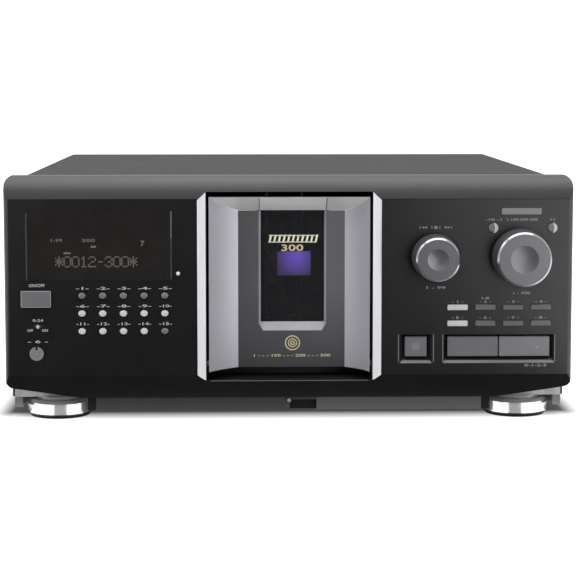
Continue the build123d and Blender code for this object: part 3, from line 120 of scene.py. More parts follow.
def math_node(tree, kind, operation, values):
    """A node that works with numbers or with what other nodes put out."""
    node = tree.nodes.new(kind)
    node.operation = operation
    for value, socket in zip(values, node.inputs):
        fed(tree, value, socket)
    return node


def worked_out(tree, operation, *values):
    """What one step of arithmetic comes to."""
    return math_node(tree, "ShaderNodeMath", operation, values).outputs[0]


def vector_worked_out(tree, operation, *values):
    """What one step of arithmetic with vectors comes to."""
    return math_node(tree, "ShaderNodeVectorMath", operation, values).outputs[0]


def length_of(tree, vector):
    """A vector's length."""
    return math_node(tree, "ShaderNodeVectorMath", "LENGTH", [vector]).outputs["Value"]


def axes(tree, vector):
    """A vector's X, Y and Z."""
    parts = tree.nodes.new("ShaderNodeSeparateXYZ")
    tree.links.new(vector, parts.inputs["Vector"])
    return parts.outputs


def coordinates(tree, centre=(0, 0, 0), stretch=(1, 1, 1)):
    """The object's own coordinates in millimetres, moved to a centre and stretched along the axes."""
    source = tree.nodes.new("ShaderNodeTexCoord")
    mapping = tree.nodes.new("ShaderNodeMapping")
    mapping.inputs["Location"].default_value = [-c * s for c, s in zip(centre, stretch)]
    mapping.inputs["Scale"].default_value = [s / mm for s in stretch]
    tree.links.new(source.outputs["Object"], mapping.inputs["Vector"])
    return mapping.outputs["Vector"]


def noise(tree, vector, grain, detail=2.0, rough=0.5):
    """Noise whose grains are about so many millimetres across."""
    texture = tree.nodes.new("ShaderNodeTexNoise")
    texture.inputs["Scale"].default_value = 1 / grain
    texture.inputs["Detail"].default_value = detail
    texture.inputs["Roughness"].default_value = rough
    tree.links.new(vector, texture.inputs["Vector"])
    return texture.outputs["Fac"]


def ranged(tree, value, low, high, start=0.3, end=0.7):
    """A value between start and end carried over to low and high."""
    carried = tree.nodes.new("ShaderNodeMapRange")
    carried.inputs["From Min"].default_value = start
    carried.inputs["From Max"].default_value = end
    carried.inputs["To Min"].default_value = low
    carried.inputs["To Max"].default_value = high
    tree.links.new(value, carried.inputs["Value"])
    return carried.outputs["Result"]


def mixed(tree, value, first, second):
    """A colour between two colours, or two colour sockets."""
    blend = tree.nodes.new("ShaderNodeMix")
    blend.data_type = "RGBA"
    tree.links.new(value, blend.inputs["Factor"])
    fed(tree, first, blend.inputs[6])
    fed(tree, second, blend.inputs[7])
    return blend.outputs[2]


def varied(tree, colour, share):
    """A colour made lighter or darker by a share that a texture gives."""
    level = tree.nodes.new("ShaderNodeHueSaturation")
    tree.links.new(colour, level.inputs["Color"])
    tree.links.new(share, level.inputs["Value"])
    return level.outputs["Color"]


def raised(tree, shader, value, height):
    """Gives the shader's surface bumps of so many millimetres."""
    bump = tree.nodes.new("ShaderNodeBump")
    bump.inputs["Strength"].default_value = 1.0
    bump.inputs["Distance"].default_value = height * mm
    tree.links.new(value, bump.inputs["Height"])
    tree.links.new(bump.outputs["Normal"], shader.inputs["Normal"])


def surfaced(tree, shader, shade, sheen, relief, height):
    """Gives a shader its colour, its roughness, and its bumps of so many millimetres."""
    tree.links.new(shade, shader.inputs["Base Color"])
    tree.links.new(sheen, shader.inputs["Roughness"])
    raised(tree, shader, relief, height)


def tinted(colour, share):
    """The colour made lighter or darker by a share."""
    return (*[c * share for c in colour[:3]], 1.0)


def moulding(name, colour, roughness, grain=0.5, height=0.02, gloss=0.5, clouds=0.08):
    """Moulded plastic with a spark-eroded grain, slight clouding and a little wear in its sheen."""
    material, tree, shader = finish(name, colour, roughness, 0.0, gloss)
    where = coordinates(tree)
    cloud = noise(tree, where, 38.0, 3.0)
    shade = mixed(tree, ranged(tree, cloud, 0, 1), tinted(colour, 1 - clouds), tinted(colour, 1 + clouds))
    rub = noise(tree, where, 14.0, 2.0)
    sheen = ranged(tree, rub, roughness - 0.015, roughness + 0.02)
    surfaced(tree, shader, shade, sheen, noise(tree, where, grain, 1.0), height)
    return material


def painted_sheet(name, colour, roughness, speckle=0.06, gloss=0.5):
    """Steel sheet under baked paint: an orange-peel surface with fine speckle."""
    material, tree, shader = finish(name, colour, roughness, 0.0, gloss)
    where = coordinates(tree)
    dots = noise(tree, where, 0.6, 2.0, 0.7)
    cloud = noise(tree, where, 60.0, 2.0)
    specks = ranged(tree, dots, 0, 1, 0.35, 0.65)
    light = mixed(tree, specks, tinted(colour, 1 - speckle), tinted(colour, 1 + speckle))
    shade = mixed(tree, ranged(tree, cloud, 0, 0.1), light, tinted(colour, 0.8))
    sheen = ranged(tree, cloud, roughness - 0.01, roughness + 0.015)
    surfaced(tree, shader, shade, sheen, noise(tree, where, 1.4, 2.0), 0.05)
    return material


def bare_metal(name, colour, roughness, along="x", depth=0.006, streak=0.12, metallic=1.0):
    """Metal with fine drawing lines along one axis."""
    stretch = {"x": (0.02, 1, 1), "y": (1, 0.02, 1), "z": (1, 1, 0.02)}[along]
    material, tree, shader = finish(name, colour, roughness, metallic)
    lines = noise(tree, coordinates(tree, stretch=stretch), 0.35, 3.0, 0.6)
    cloud = noise(tree, coordinates(tree), 24.0, 2.0)
    dim, lit = tinted(colour, 1 - streak), tinted(colour, 1 + streak * 0.6)
    shade = mixed(tree, ranged(tree, lines, 0, 1), dim, lit)
    sheen = ranged(tree, cloud, roughness - 0.02, roughness + 0.03)
    surfaced(tree, shader, shade, sheen, lines, depth)
    return material


def zinc_sheet(name):
    """Galvanised sheet with its large pale crystals, and painted shade that darkens the runners under the
    base.
    """
    colour, runner_shade_grey, crystal_size = paint(192, 194, 196), paint(118, 118, 122), 7.0
    material, tree, shader = finish(name, colour, 0.42, 0.5)
    where = coordinates(tree)
    crystals = tree.nodes.new("ShaderNodeTexVoronoi")
    crystals.inputs["Scale"].default_value = 1 / crystal_size
    tree.links.new(where, crystals.inputs["Vector"])
    grey = tree.nodes.new("ShaderNodeSeparateColor")
    tree.links.new(crystals.outputs["Color"], grey.inputs["Color"])
    crystal = ranged(tree, grey.outputs["Red"], 0, 1, 0, 1)
    shade = mixed(tree, crystal, tinted(colour, 0.82), tinted(colour, 1.06))
    # painted shade: the runners under the base are painted darker where shade falls under the changer
    shade = mixed(tree, banded(tree, "Z", 0, runner_top), shade, runner_shade_grey)
    sheen = ranged(tree, grey.outputs["Green"], 0.36, 0.52, 0, 1)
    surfaced(tree, shader, shade, sheen, noise(tree, where, 2.5, 2.0), 0.02)
    return material


def turned_metal(name, colour, roughness, centre, pitch, depth, metallic):
    """Metal turned on a lathe about a line along Y: fine rings round a centre in X and Z."""
    material, tree, shader = finish(name, colour, roughness, metallic)
    where = coordinates(tree, (centre[0], 0, centre[1]), (1, 0, 1))
    outwards = tree.nodes.new("ShaderNodeCombineXYZ")
    tree.links.new(length_of(tree, where), outwards.inputs["X"])
    rings = noise(tree, outwards.outputs["Vector"], pitch, 3.0, 0.7)
    cloud = noise(tree, coordinates(tree), 12.0, 2.0)
    shade = mixed(tree, ranged(tree, rings, 0, 1), tinted(colour, 0.9), tinted(colour, 1.08))
    surfaced(tree, shader, shade, ranged(tree, cloud, roughness - 0.01, roughness + 0.02), rings, depth)
    return material


def between(tree, value, low, high):
    """1 where a value lies between two others, and 0 elsewhere."""
    above = worked_out(tree, "GREATER_THAN", value, low)
    below = worked_out(tree, "LESS_THAN", value, high)
    return worked_out(tree, "MULTIPLY", above, below)


def banded(tree, axis, low, high):
    """1 between two places along an axis of the object, in millimetres, and 0 elsewhere."""
    return between(tree, axes(tree, coordinates(tree))[axis], low, high)


def under_roof(tree, low, high):
    """1 between two heights above the underside of the door's sloping roof, and 0 elsewhere."""
    place = axes(tree, coordinates(tree, (0, face_y, roof_front)))
    rise = worked_out(tree, "MULTIPLY_ADD", place["Y"], roof_slope, place["Z"])
    return between(tree, rise, low, high)


def two_tone_door(name):
    """Silver paint with metal flakes in it and a darker flat face at the bottom of the door's hollow, with
    painted shade that darkens the face towards its left and its foot, the rim behind it and the band just
    above the roof's underside, and painted light that makes the roof paler.
    """
    silver, dark, rim = paint(184, 183, 190), paint(90, 90, 93), paint(160, 159, 164)
    # painted light: the roof's underside is paler, most of all between its seams; painted shade: the band
    # just above it is grey
    lit_roof_side, lit_roof_centre, gap_shade_grey = paint(214), paint(232), paint(84)
    face_shade_across, face_shade_up = (-40, 44), (40, 100)  # painted shade: the dark face grows lighter along these, so it is darkest at its left and its foot
    face_half, shaded_rim_end = 0.25, 4.1  # the dark face's band, and where the rim behind it ends; the rim's grey is painted shade
    lit_roof_band, gap_shade_band = (-0.3, 0.1), (0.1, 0.9)
    material, tree, shader = finish(name, silver, 0.42, 0.45)
    where = coordinates(tree)
    flakes = noise(tree, where, 0.25, 1.0)
    cloud = noise(tree, where, 50.0, 2.0)
    place = axes(tree, where)
    # painted shade: the dark face darkens towards its left and its foot
    across = mixed(tree, ranged(tree, place["X"], 0, 1, *face_shade_across), dark, tinted(dark, 1.4))
    face = mixed(tree, ranged(tree, place["Z"], 0, 1, *face_shade_up), tinted(dark, 0.74), across)
    tone = mixed(tree, banded(tree, "Y", recess_y - face_half, recess_y + face_half), silver, face)
    tone = mixed(tree, banded(tree, "Y", recess_y + face_half, recess_y + shaded_rim_end), tone, rim)
    # painted light on the roof's underside, and painted shade just above it
    roof = mixed(tree, banded(tree, "X", *roof_middle), lit_roof_side, lit_roof_centre)
    tone = mixed(tree, under_roof(tree, *lit_roof_band), tone, roof)
    tone = mixed(tree, under_roof(tree, *gap_shade_band), tone, gap_shade_grey)
    shade = varied(tree, tone, ranged(tree, flakes, 0.93, 1.05))
    surfaced(tree, shader, shade, ranged(tree, cloud, 0.4, 0.44), flakes, 0.004)
    return material


def plated_metal(name):
    """Bright plating on the feet, with a dull neck above it and a dark lip at the foot's bottom edge."""
    bright, dull, dark = paint(244, 243, 246), paint(168, 168, 171), paint(66)
    material, tree, shader = finish(name, bright, 0.2, 1.0)
    lines = noise(tree, coordinates(tree, stretch=(0.05, 0.05, 1)), 0.4, 2.0)
    neck = banded(tree, "Z", foot_top - foot_neck, over_top)
    lip = banded(tree, "Z", 0, foot_lip)
    tone = mixed(tree, lip, mixed(tree, neck, bright, dull), dark)
    shade = varied(tree, tone, ranged(tree, lines, 0.96, 1.03))
    tree.links.new(ranged(tree, neck, 1.0, 0.1, 0, 1), shader.inputs["Metallic"])
    surfaced(tree, shader, shade, ranged(tree, lines, 0.18, 0.24), lines, 0.002)
    return material


def smoked_pane(name, colour, clear, roughness=0.06, gloss=0.5):
    """A tinted pane. Clear is the share of light that each of its faces lets through; 0 is opaque."""
    material, tree, shader = finish(name, colour, roughness, 0.0, gloss)
    shader.inputs["Alpha"].default_value = 1 - clear
    where = coordinates(tree)
    wipe = noise(tree, where, 16.0, 3.0)
    shade = mixed(tree, ranged(tree, wipe, 0, 1), tinted(colour, 0.9), tinted(colour, 1.15))
    tree.links.new(shade, shader.inputs["Base Color"])
    tree.links.new(ranged(tree, wipe, roughness, roughness + 0.05), shader.inputs["Roughness"])
    return material


def rubber(name):
    """Dull black rubber with a little dust on it."""
    material, tree, shader = finish(name, paint(30), 0.8)
    where = coordinates(tree)
    dust = noise(tree, where, 3.0, 4.0)
    shade = mixed(tree, ranged(tree, dust, 0, 1), paint(26), paint(44))
    surfaced(tree, shader, shade, ranged(tree, dust, 0.7, 0.9), noise(tree, where, 0.8), 0.06)
    return material


def board(name):
    """Circuit board: solder mask with tracks under it."""
    material, tree, shader = finish(name, paint(96, 72, 34), 0.4)
    where = coordinates(tree)
    tracks = tree.nodes.new("ShaderNodeTexBrick")
    tracks.inputs["Scale"].default_value = 0.2
    tracks.inputs["Color1"].default_value = paint(98, 74, 36)
    tracks.inputs["Color2"].default_value = paint(84, 62, 28)
    tracks.inputs["Mortar"].default_value = paint(126, 100, 54)
    tracks.inputs["Mortar Size"].default_value = 0.08
    tree.links.new(where, tracks.inputs["Vector"])
    sheen = ranged(tree, noise(tree, where, 2.0), 0.3, 0.5)
    surfaced(tree, shader, tracks.outputs["Color"], sheen, tracks.outputs["Fac"], -0.04)
    return material


def laminations(name):
    """A transformer's stacked iron sheets under varnish."""
    material, tree, shader = finish(name, paint(74, 66, 60), 0.5, 0.7)
    sheets = noise(tree, coordinates(tree, stretch=(0.02, 0.02, 1)), 0.5, 2.0)
    shade = mixed(tree, ranged(tree, sheets, 0, 1), paint(52, 46, 42), paint(98, 88, 78))
    surfaced(tree, shader, shade, ranged(tree, sheets, 0.4, 0.65), sheets, 0.06)
    return material


def printing_ink(name, colour, glow=0.0):
    """Screen-printed ink, a little uneven, which may be lit from behind."""
    material, tree, shader = finish(name, colour, 0.6)
    where = coordinates(tree)
    cover = noise(tree, where, 0.7, 2.0)
    shade = mixed(tree, ranged(tree, cover, 0, 1), tinted(colour, 0.85), tinted(colour, 1.1))
    tree.links.new(shade, shader.inputs["Base Color"])
    if glow:
        tree.links.new(shade, shader.inputs["Emission Color"])
        shader.inputs["Emission Strength"].default_value = glow
        material.cycles.emission_sampling = "NONE"
    return material


def moulded_front(name):
    """The front's black moulding, with painted light: a grey kick strip at its foot, lighter on its right
    part, and a greyer brow at its top, which is also duller.
    """
    brow_lit_grey, strip_lit_grey, strip_brighter_lit_grey = paint(50, 50, 51), paint(66, 66, 67), paint(92, 92, 93)
    brighter_lit_span = (21.0, 160.0)  # the strip's more brightly painted-lit part in X
    brow_dullness = 0.15  # added to the brow's roughness
    material = moulding(name, paint(19, 19, 20), 0.3, 0.32, 0.012, 0.5, 0.05)
    tree = material.node_tree
    shader = tree.nodes["Principled BSDF"]
    shade = shader.inputs["Base Color"].links[0].from_socket
    rub = shader.inputs["Roughness"].links[0].from_socket
    # painted light: the kick strip is painted grey where light from the floor reaches it, lighter on its
    # right part
    strip = mixed(tree, banded(tree, "X", *brighter_lit_span), strip_lit_grey, strip_brighter_lit_grey)
    shade = mixed(tree, banded(tree, "Z", 0, kick_top), shade, strip)
    # painted light: the brow is painted greyer where the light from above falls on it
    brow = banded(tree, "Z", brow_foot, over_top)
    tree.links.new(mixed(tree, brow, shade, brow_lit_grey), shader.inputs["Base Color"])
    height = axes(tree, coordinates(tree))["Z"]
    low_sheen = ranged(tree, height, 0.5, 0.22, brow_foot - 1, brow_foot)
    high_sheen = ranged(tree, height, 0.0, 0.28, brow_foot + 6, brow_foot + 16)
    sheen = worked_out(tree, "ADD", low_sheen, high_sheen)
    tree.links.new(sheen, shader.inputs["Specular IOR Level"])
    dulled = worked_out(tree, "MULTIPLY_ADD", brow, brow_dullness, rub)
    tree.links.new(dulled, shader.inputs["Roughness"])
    return material


# each finish's name, the function that makes it and what that function is told
looks = [
    ("black_front", moulded_front),
    ("painted_cover", painted_sheet, paint(48, 48, 50), 0.65, 0.1, 0.14),
    ("painted_back", painted_sheet, paint(44, 44, 46), 0.5),
    ("galvanised_steel", zinc_sheet),
    ("black_moulding", moulding, paint(22), 0.5, 0.5, 0.02, 0.3),
    ("grey_moulding", moulding, paint(58, 58, 60), 0.5, 0.6, 0.02),
    ("bright_trim", bare_metal, paint(222, 222, 226), 0.3, "z", 0.003, 0.05, 0.15),
    ("silver_door", two_tone_door),
    ("smoked_window", smoked_pane, paint(38, 38, 40), 0.35),
    ("display_glass", smoked_pane, paint(33, 30, 30), 0.0),
    ("display_tube_glass", smoked_pane, paint(40, 33, 33), 0.0, 0.5, 0.0),
    ("plated_foot", plated_metal),
    ("rubber", rubber),
    ("white_gear", moulding, paint(226, 224, 216), 0.42, 0.8, 0.01),
    ("motor_can", bare_metal, paint(150, 150, 152), 0.3, "z", 0.003, 0.08),
    ("cast_metal", bare_metal, paint(104, 104, 108), 0.5, "y", 0.01, 0.1),
    ("shaft_steel", bare_metal, paint(190, 190, 194), 0.22, "y", 0.003, 0.08),
    ("board", board),
    ("transformer_iron", laminations),
    ("screw_steel", bare_metal, paint(70, 70, 74), 0.35, "x", 0.004, 0.1),
    ("key_light", moulding, paint(180, 180, 182), 0.4, 0.4, 0.008),
    ("key_dark", moulding, paint(98, 98, 100), 0.4, 0.4, 0.008),
    ("cap_light", moulding, paint(180, 180, 182), 0.4, 0.4, 0.008),
    ("cap_dark", moulding, paint(98, 98, 100), 0.4, 0.4, 0.008),
    ("key_grey", moulding, paint(96, 96, 100), 0.42, 0.4, 0.008),
]
finishes = {name: maker(name, *look) for name, maker, *look in looks}
white_ink = printing_ink("white_ink", paint(164))
dim_ink = printing_ink("dim_ink", paint(132))
edge_highlight_ink = printing_ink("edge_highlight_ink", paint(54))
faint_highlight_ink = printing_ink("faint_highlight_ink", paint(80))
gold_ink = printing_ink("gold_ink", paint(196, 184, 148))
cream_ink = printing_ink("cream_ink", paint(238, 232, 205))
lit_digits = printing_ink("lit_digits", paint(94, 88, 84))
lamp_lens = printing_ink("lamp_lens", paint(206, 206, 198), 0.04)


def dress(node, material):
    """Gives a CAD node's object its finish."""
    for place in frame["nodes"][node].material_slots:
        place.material = material


for part in frame["record"]["subparts"]:
    if part["material_slot"] in finishes:
        dress(part["node"], finishes[part["material_slot"]])
for node in ("bar_key_1", "bar_key_5"):
    dress(node, finishes["key_light"])
for node in ("skip_key_left", "skip_key_right"):
    dress(node, finishes["cap_dark"])
dress("pause_key", moulding("pause_grey", paint(107, 107, 111), 0.42, 0.4, 0.008))
bar_grey = moulding("bar_grey", paint(84, 84, 87), 0.42, 0.4, 0.008)
for n in (2, 3, 4, 6, 7, 8):
    dress("bar_key_%d" % n, bar_grey)
for knob in ("track_knob", "disc_knob"):
    centre = middle_of(knob)
    axis = (centre.x, centre.z)
    dress(knob, turned_metal(knob + "_metal", paint(104, 103, 108), 0.32, axis, 0.35, 0.003, 0.6))


# ---- making shapes, in millimetres ----------------------------------------------------------


corner_steps = 4  # segments of a plate's rounded corner
sharp_angle = radians(35)


def plate(x, y, z, width, height, thick, corner=0.0):
    """A flat plate facing the front, its face at y, with its thickness behind it."""
    shape = bmesh.new()
    bmesh.ops.create_grid(shape, x_segments=1, y_segments=1, size=0.5)
    bmesh.ops.scale(shape, vec=(width, height, 1), verts=shape.verts)
    if corner:
        bmesh.ops.bevel(shape, geom=list(shape.verts), offset=corner, segments=corner_steps,
                        profile=0.5, affect="VERTICES", material=-1)
    return thickened(shape, x, y, z, thick)


def thickened(shape, x, y, z, thick):
    """A flat outline in the X and Y plane stood up to face the front at y, and given thickness."""
    walls = bmesh.ops.extrude_face_region(shape, geom=list(shape.faces))
    risen = [part for part in walls["geom"] if isinstance(part, bmesh.types.BMVert)]
    bmesh.ops.translate(shape, vec=(0, 0, -thick), verts=risen)
    bmesh.ops.rotate(shape, matrix=Matrix.Rotation(pi / 2, 3, "X"), verts=shape.verts)
    bmesh.ops.translate(shape, vec=(x, y, z), verts=shape.verts)
    bmesh.ops.recalc_face_normals(shape, faces=shape.faces)
    return shape


def disc(x, y, z, radius, thick, sides=32):
    """A round plate facing the front."""
    shape = bmesh.new()
    bmesh.ops.create_circle(shape, cap_ends=True, segments=sides, radius=radius)
    return thickened(shape, x, y, z, thick)


def turned(points, x, z, sides=48):
    """A closed turned shape round a line along Y, from its (radius, y) points, end to end."""
    shape = bmesh.new()
    corners = [shape.verts.new((radius, y, 0)) for radius, y in points]
    edges = [shape.edges.new(pair) for pair in zip(corners, corners[1:])]
    if points[0][0] > 0:
        edges.append(shape.edges.new((corners[-1], corners[0])))
    bmesh.ops.spin(shape, geom=corners + edges, cent=(0, 0, 0), axis=(0, 1, 0), angle=tau,
                   steps=sides, use_merge=True)
    bmesh.ops.remove_doubles(shape, verts=shape.verts, dist=1e-4)
    bmesh.ops.translate(shape, vec=(x, 0, z), verts=shape.verts)
    bmesh.ops.recalc_face_normals(shape, faces=shape.faces)
    return shape


def ring(x, y, z, outer, inner, thick):
    """A flat printed ring facing the front."""
    return turned([(inner, y), (outer, y), (outer, y - thick), (inner, y - thick)], x, z, sides=40)


def outline(points, x, y, z, thick=ink):
    """A flat plate with straight sides through (x, z) corners, facing the front at y."""
    shape = bmesh.new()
    shape.faces.new([shape.verts.new((across, up, 0)) for across, up in points])
    return thickened(shape, x, y, z, thick)


def figures(words, x, y, z, width, height):
    """Printed figures of this width and height, centred at x and z on a face at y."""
    line = bpy.data.curves.new("figures", "FONT")
    line.body = words
    line.resolution_u = 2
    line.extrude = 0.05
    line.offset = 0.018
    holder = bpy.data.objects.new("figures", line)
    mesh = bpy.data.meshes.new_from_object(holder)
    shape = bmesh.new()
    shape.from_mesh(mesh)
    bpy.data.objects.remove(holder)
    bpy.data.curves.remove(line)
    bpy.data.meshes.remove(mesh)
    bmesh.ops.remove_doubles(shape, verts=shape.verts, dist=1e-5)
    low = Vector([min(v.co[axis] for v in shape.verts) for axis in range(3)])
    high = Vector([max(v.co[axis] for v in shape.verts) for axis in range(3)])
    bmesh.ops.translate(shape, vec=-(low + high) / 2, verts=shape.verts)
    size = high - low
    bmesh.ops.scale(shape, vec=(width / size.x, height / size.y, ink / size.z), verts=shape.verts)
    bmesh.ops.rotate(shape, matrix=Matrix.Rotation(pi / 2, 3, "X"), verts=shape.verts)
    bmesh.ops.translate(shape, vec=(x, y - ink / 2, z), verts=shape.verts)
    bmesh.ops.recalc_face_normals(shape, faces=shape.faces)
    return shape


def gathered(shapes):
    """One shape out of several."""
    whole = bmesh.new()
    for shape in shapes:
        mesh = bpy.data.meshes.new("part")
        shape.to_mesh(mesh)
        shape.free()
        whole.from_mesh(mesh)
        bpy.data.meshes.remove(mesh)
    return whole


def linked(name, data):
    """An object in the scene: a mesh, a lamp or a camera."""
    thing = bpy.data.objects.new(name, data)
    bpy.context.scene.collection.objects.link(thing)
    return thing


def placed(name, shape, material):
    """An object in the scene, with its shape and its finish."""
    mesh = bpy.data.meshes.new(name)
    shape.to_mesh(mesh)
    shape.free()
    mesh.materials.append(material)
    return linked(name, mesh)


def piece(name, shapes, material, body, smooth=False):
    """A finished piece of the changer, carried by one of its bodies."""
    shape = gathered(shapes)
    bmesh.ops.scale(shape, vec=(mm, mm, mm), verts=shape.verts)
    thing = placed(name, shape, material)
    if smooth:
        thing.data.shade_smooth()
        thing.data.set_sharp_from_angle(angle=sharp_angle)
    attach(thing, body)
    return thing


# ---- marks printed on the front -------------------------------------------------------------


def printed(words, x, z, width, height):
    """Words or numbers printed on the front panel's face, centred at x and z."""
    return figures(words, x, face_y, z, width, height)


key_columns = [middle_of("round_key_%02d" % n).x for n in range(1, 6)]
key_rows = [middle_of("round_key_%02d" % n).z for n in (1, 6, 11)]
round_label_shift, round_label_rise, round_label_size = 0.5, 5.6, (9.6, 2.2)
round_labels = []
for row, z in enumerate(key_rows):
    for column, x in enumerate(key_columns):
        number = "-%d-" % (len(key_columns) * row + column + 1)
        round_labels.append(printed(number, x + round_label_shift, z + round_label_rise, *round_label_size))
piece("round_key_numbers", round_labels, white_ink, "cabinet")

bar_label_rise, bar_label_size = 4.25, (9.0, 2.0)
bar_labels = []
for n in range(1, 9):
    key = middle_of("bar_key_%d" % n)
    bar_labels.append(printed("- %d -" % n, key.x, key.z + bar_label_rise, *bar_label_size))
group_key, group_label_rise, group_label_size = middle_of("bar_key_2"), 7.0, (5.6, 1.9)
bar_labels.append(printed("1-8", group_key.x, group_key.z + group_label_rise, *group_label_size))
piece("bar_key_numbers", bar_labels, dim_ink, "cabinet")

power = middle_of("power_key")
slider = middle_of("timer_slider")
socket = middle_of("keyboard_socket")
# each word with its middle's x and z, its width and its height
switch_words = [
    ("ON/OFF", power.x + 0.5, 105.7, 12.0, 2.4),
    ("0-24", slider.x, 79.2, 7.9, 2.1),
    ("OFF", -195.6, 71.6, 4.5, 2.0),
    ("ON", -184.6, 71.6, 4.6, 2.0),
    ("- 6 -", socket.x + 1, 63.1, 15.2, 2.2),
]
piece("switch_words", [printed(*word) for word in switch_words], white_ink, "cabinet")


def skip_arrow(x, z, half, point):
    """A triangular mark pointing left (-1) or right (1)."""
    corners = [(-half * point * 0.8, -half), (half * point * 0.9, 0), (-half * point * 0.8, half)]
    return outline(corners if point > 0 else corners[::-1], x, face_y - ink, z)


track = middle_of("track_knob")
disc_knob = middle_of("disc_knob")
sign_x, sign_z, sign_height = track.x + 0.6, 149.0, 2.1
arrow_x, arrow_step, arrow_half = 7.6, 2.1, 1.05
end_bar_x, end_bar_width = 11.9, 0.5
knob_marks = []
for side in (-1, 1):
    for step in (0, 1):
        knob_marks.append(skip_arrow(sign_x + side * (arrow_x + step * arrow_step), sign_z, arrow_half, side))
    knob_marks.append(plate(sign_x + side * end_bar_x, face_y - ink, sign_z, end_bar_width, sign_height, ink))
for shift, width in ((0.0, 2.2), (-3.0, 0.6), (3.0, 0.6)):  # a stop square between two bars
    knob_marks.append(plate(sign_x + shift, face_y - ink, sign_z, width, sign_height, ink))
# each word with its middle's x and z, its width and its height
knob_words = [
    ("1 - 99", track.x + 1, 103.3, 14.4, 2.1),
    ("1 - 300", disc_knob.x + 1.5, 99.1, 12.9, 2.1),
    ("1-100-200-300", disc_knob.x + 1.5, 154.9, 23.4, 1.9),
    ("-10 -1", 154.0, 154.9, 12.3, 1.9),
    ("+1", 198.4, 154.9, 3.8, 1.9),
    ("0-1-2-3", 187.0, 43.8, 16.7, 2.1),
]
knob_marks += [printed(*word) for word in knob_words]
piece("knob_marks", knob_marks, dim_ink, "cabinet")

legend_x, legend_z, legend_size, legend_lift, legend_corner = 175.4, 161.15, (30.0, 4.7), 0.3, 0.8
legend = plate(legend_x, face_y - legend_lift, legend_z, *legend_size, legend_lift, legend_corner)
legend_grey = moulding("legend_plate", paint(122), 0.5, 0.4, 0.004, 0.3)
piece("legend_plate", [legend], legend_grey, "cabinet")

# painted highlights: lighter lips and side lines along the two key pockets' edges, where the light from above
# catches them
pocket_low, pocket_high, pocket_margin = 45.5, 67.5, 3.6
lip_height, lip_thick, lip_lean = 2.6, 0.2, radians(-43)
lip_depth, lip_rise, lip_gap = 0.85, 1.1, 0.8
side_line_width, side_line_height = 0.6, 21.0
side_line_z = (pocket_low + pocket_high) / 2 + 0.6
pocket_highlights = []
for first, last in (("stop_key", "stop_key"), ("play_key", "pause_key")):
    left = size_of(first)[0].x - pocket_margin
    right = size_of(last)[1].x + pocket_margin
    lip = plate((left + right) / 2, 0, 0, right - left - lip_gap, lip_height, lip_thick)
    bmesh.ops.rotate(lip, matrix=Matrix.Rotation(lip_lean, 3, "X"), verts=lip.verts)
    bmesh.ops.translate(lip, vec=(0, face_y + lip_depth, pocket_low + lip_rise), verts=lip.verts)
    pocket_highlights.append(lip)
    for x in (left, right):
        pocket_highlights.append(plate(x, face_y - ink, side_line_z, side_line_width, side_line_height, ink))
lip_highlight_grey = moulding("pocket_lip_highlight", paint(112, 112, 114), 0.4, 0.4, 0.004, 0.4, 0.03)
piece("pocket_lips", pocket_highlights, lip_highlight_grey, "cabinet")

lamp_x, lamp_z, lamp_r = -84.0, 114.6, 1.45
lens = [(0, face_y - 0.8), (0.6, face_y - 0.7), (1.1, face_y - 0.4), (lamp_r, face_y), (0, face_y)]
piece("status_lamp", [turned(lens, lamp_x, lamp_z, 24)], lamp_lens, "cabinet", True)

glass = middle_of("display_window")
glass_y = size_of("display_window")[0].y - ink
window_half = 54.4  # half of the display window's open width
# painted highlights along the display glass's left, top and right edges, where the light catches them
glass_edge_highlights = [
    plate(glass.x - window_half, glass_y, 134.5, 1.0, 52.0, ink),
    plate(glass.x, glass_y, 163.9, 107.0, 0.7, ink),
    plate(glass.x + window_half, glass_y, 124.0, 0.8, 32.0, ink),
]
piece("display_lines", glass_edge_highlights, edge_highlight_ink, "cabinet")
# a brighter painted highlight on the upper part of the right edge
right_edge_highlight = plate(glass.x + window_half, glass_y, 151.0, 1.1, 21.0, ink)
piece("display_right_line", [right_edge_highlight], faint_highlight_ink, "cabinet")

# ---- small caps, the socket's face, painted shade at the kick strip and a painted highlight on the opening's edge ---
cap_r, cap_shank, cap_squash = 2.85, 4.0, 0.86
light_caps = range(6, 15)


def round_cap(node):
    """A domed oval cap for a round key, with a shank that reaches back through the panel."""
    front = size_of(node)[0].y
    shank = face_y + cap_shank
    centre = middle_of(node)
    crown = [(0, front), (1.0, front + 0.04), (1.8, front + 0.2), (2.4, front + 0.55), (2.75, front + 1.1),
             (cap_r, front + 1.7), (cap_r, shank), (0, shank)]
    cap = turned(crown, centre.x, centre.z, 40)
    about = Matrix.Translation((-centre.x, 0, -centre.z))
    bmesh.ops.scale(cap, vec=(1, 1, cap_squash), verts=cap.verts, space=about)
    return cap


for n in range(1, 16):
    node = "round_key_%02d" % n
    tone = "light" if n in light_caps else "dark"
    finish_here, slot_here = finishes["cap_" + tone], "key_" + tone
    cap = piece(node + "_cap", [round_cap(node)], finish_here, node + "_body", True)
    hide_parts(node)

slider_y = size_of("timer_slider")[0].y
slide_profile = [(0, slider_y - 0.05), (1.0, slider_y), (1.5, slider_y + 0.3), (1.5, slider_y + 0.6),
                 (0, slider_y + 0.6)]
slide_cap = turned(slide_profile, slider.x, slider.z, 24)
piece("timer_slider_cap", [slide_cap], finishes["key_light"], "timer", True)

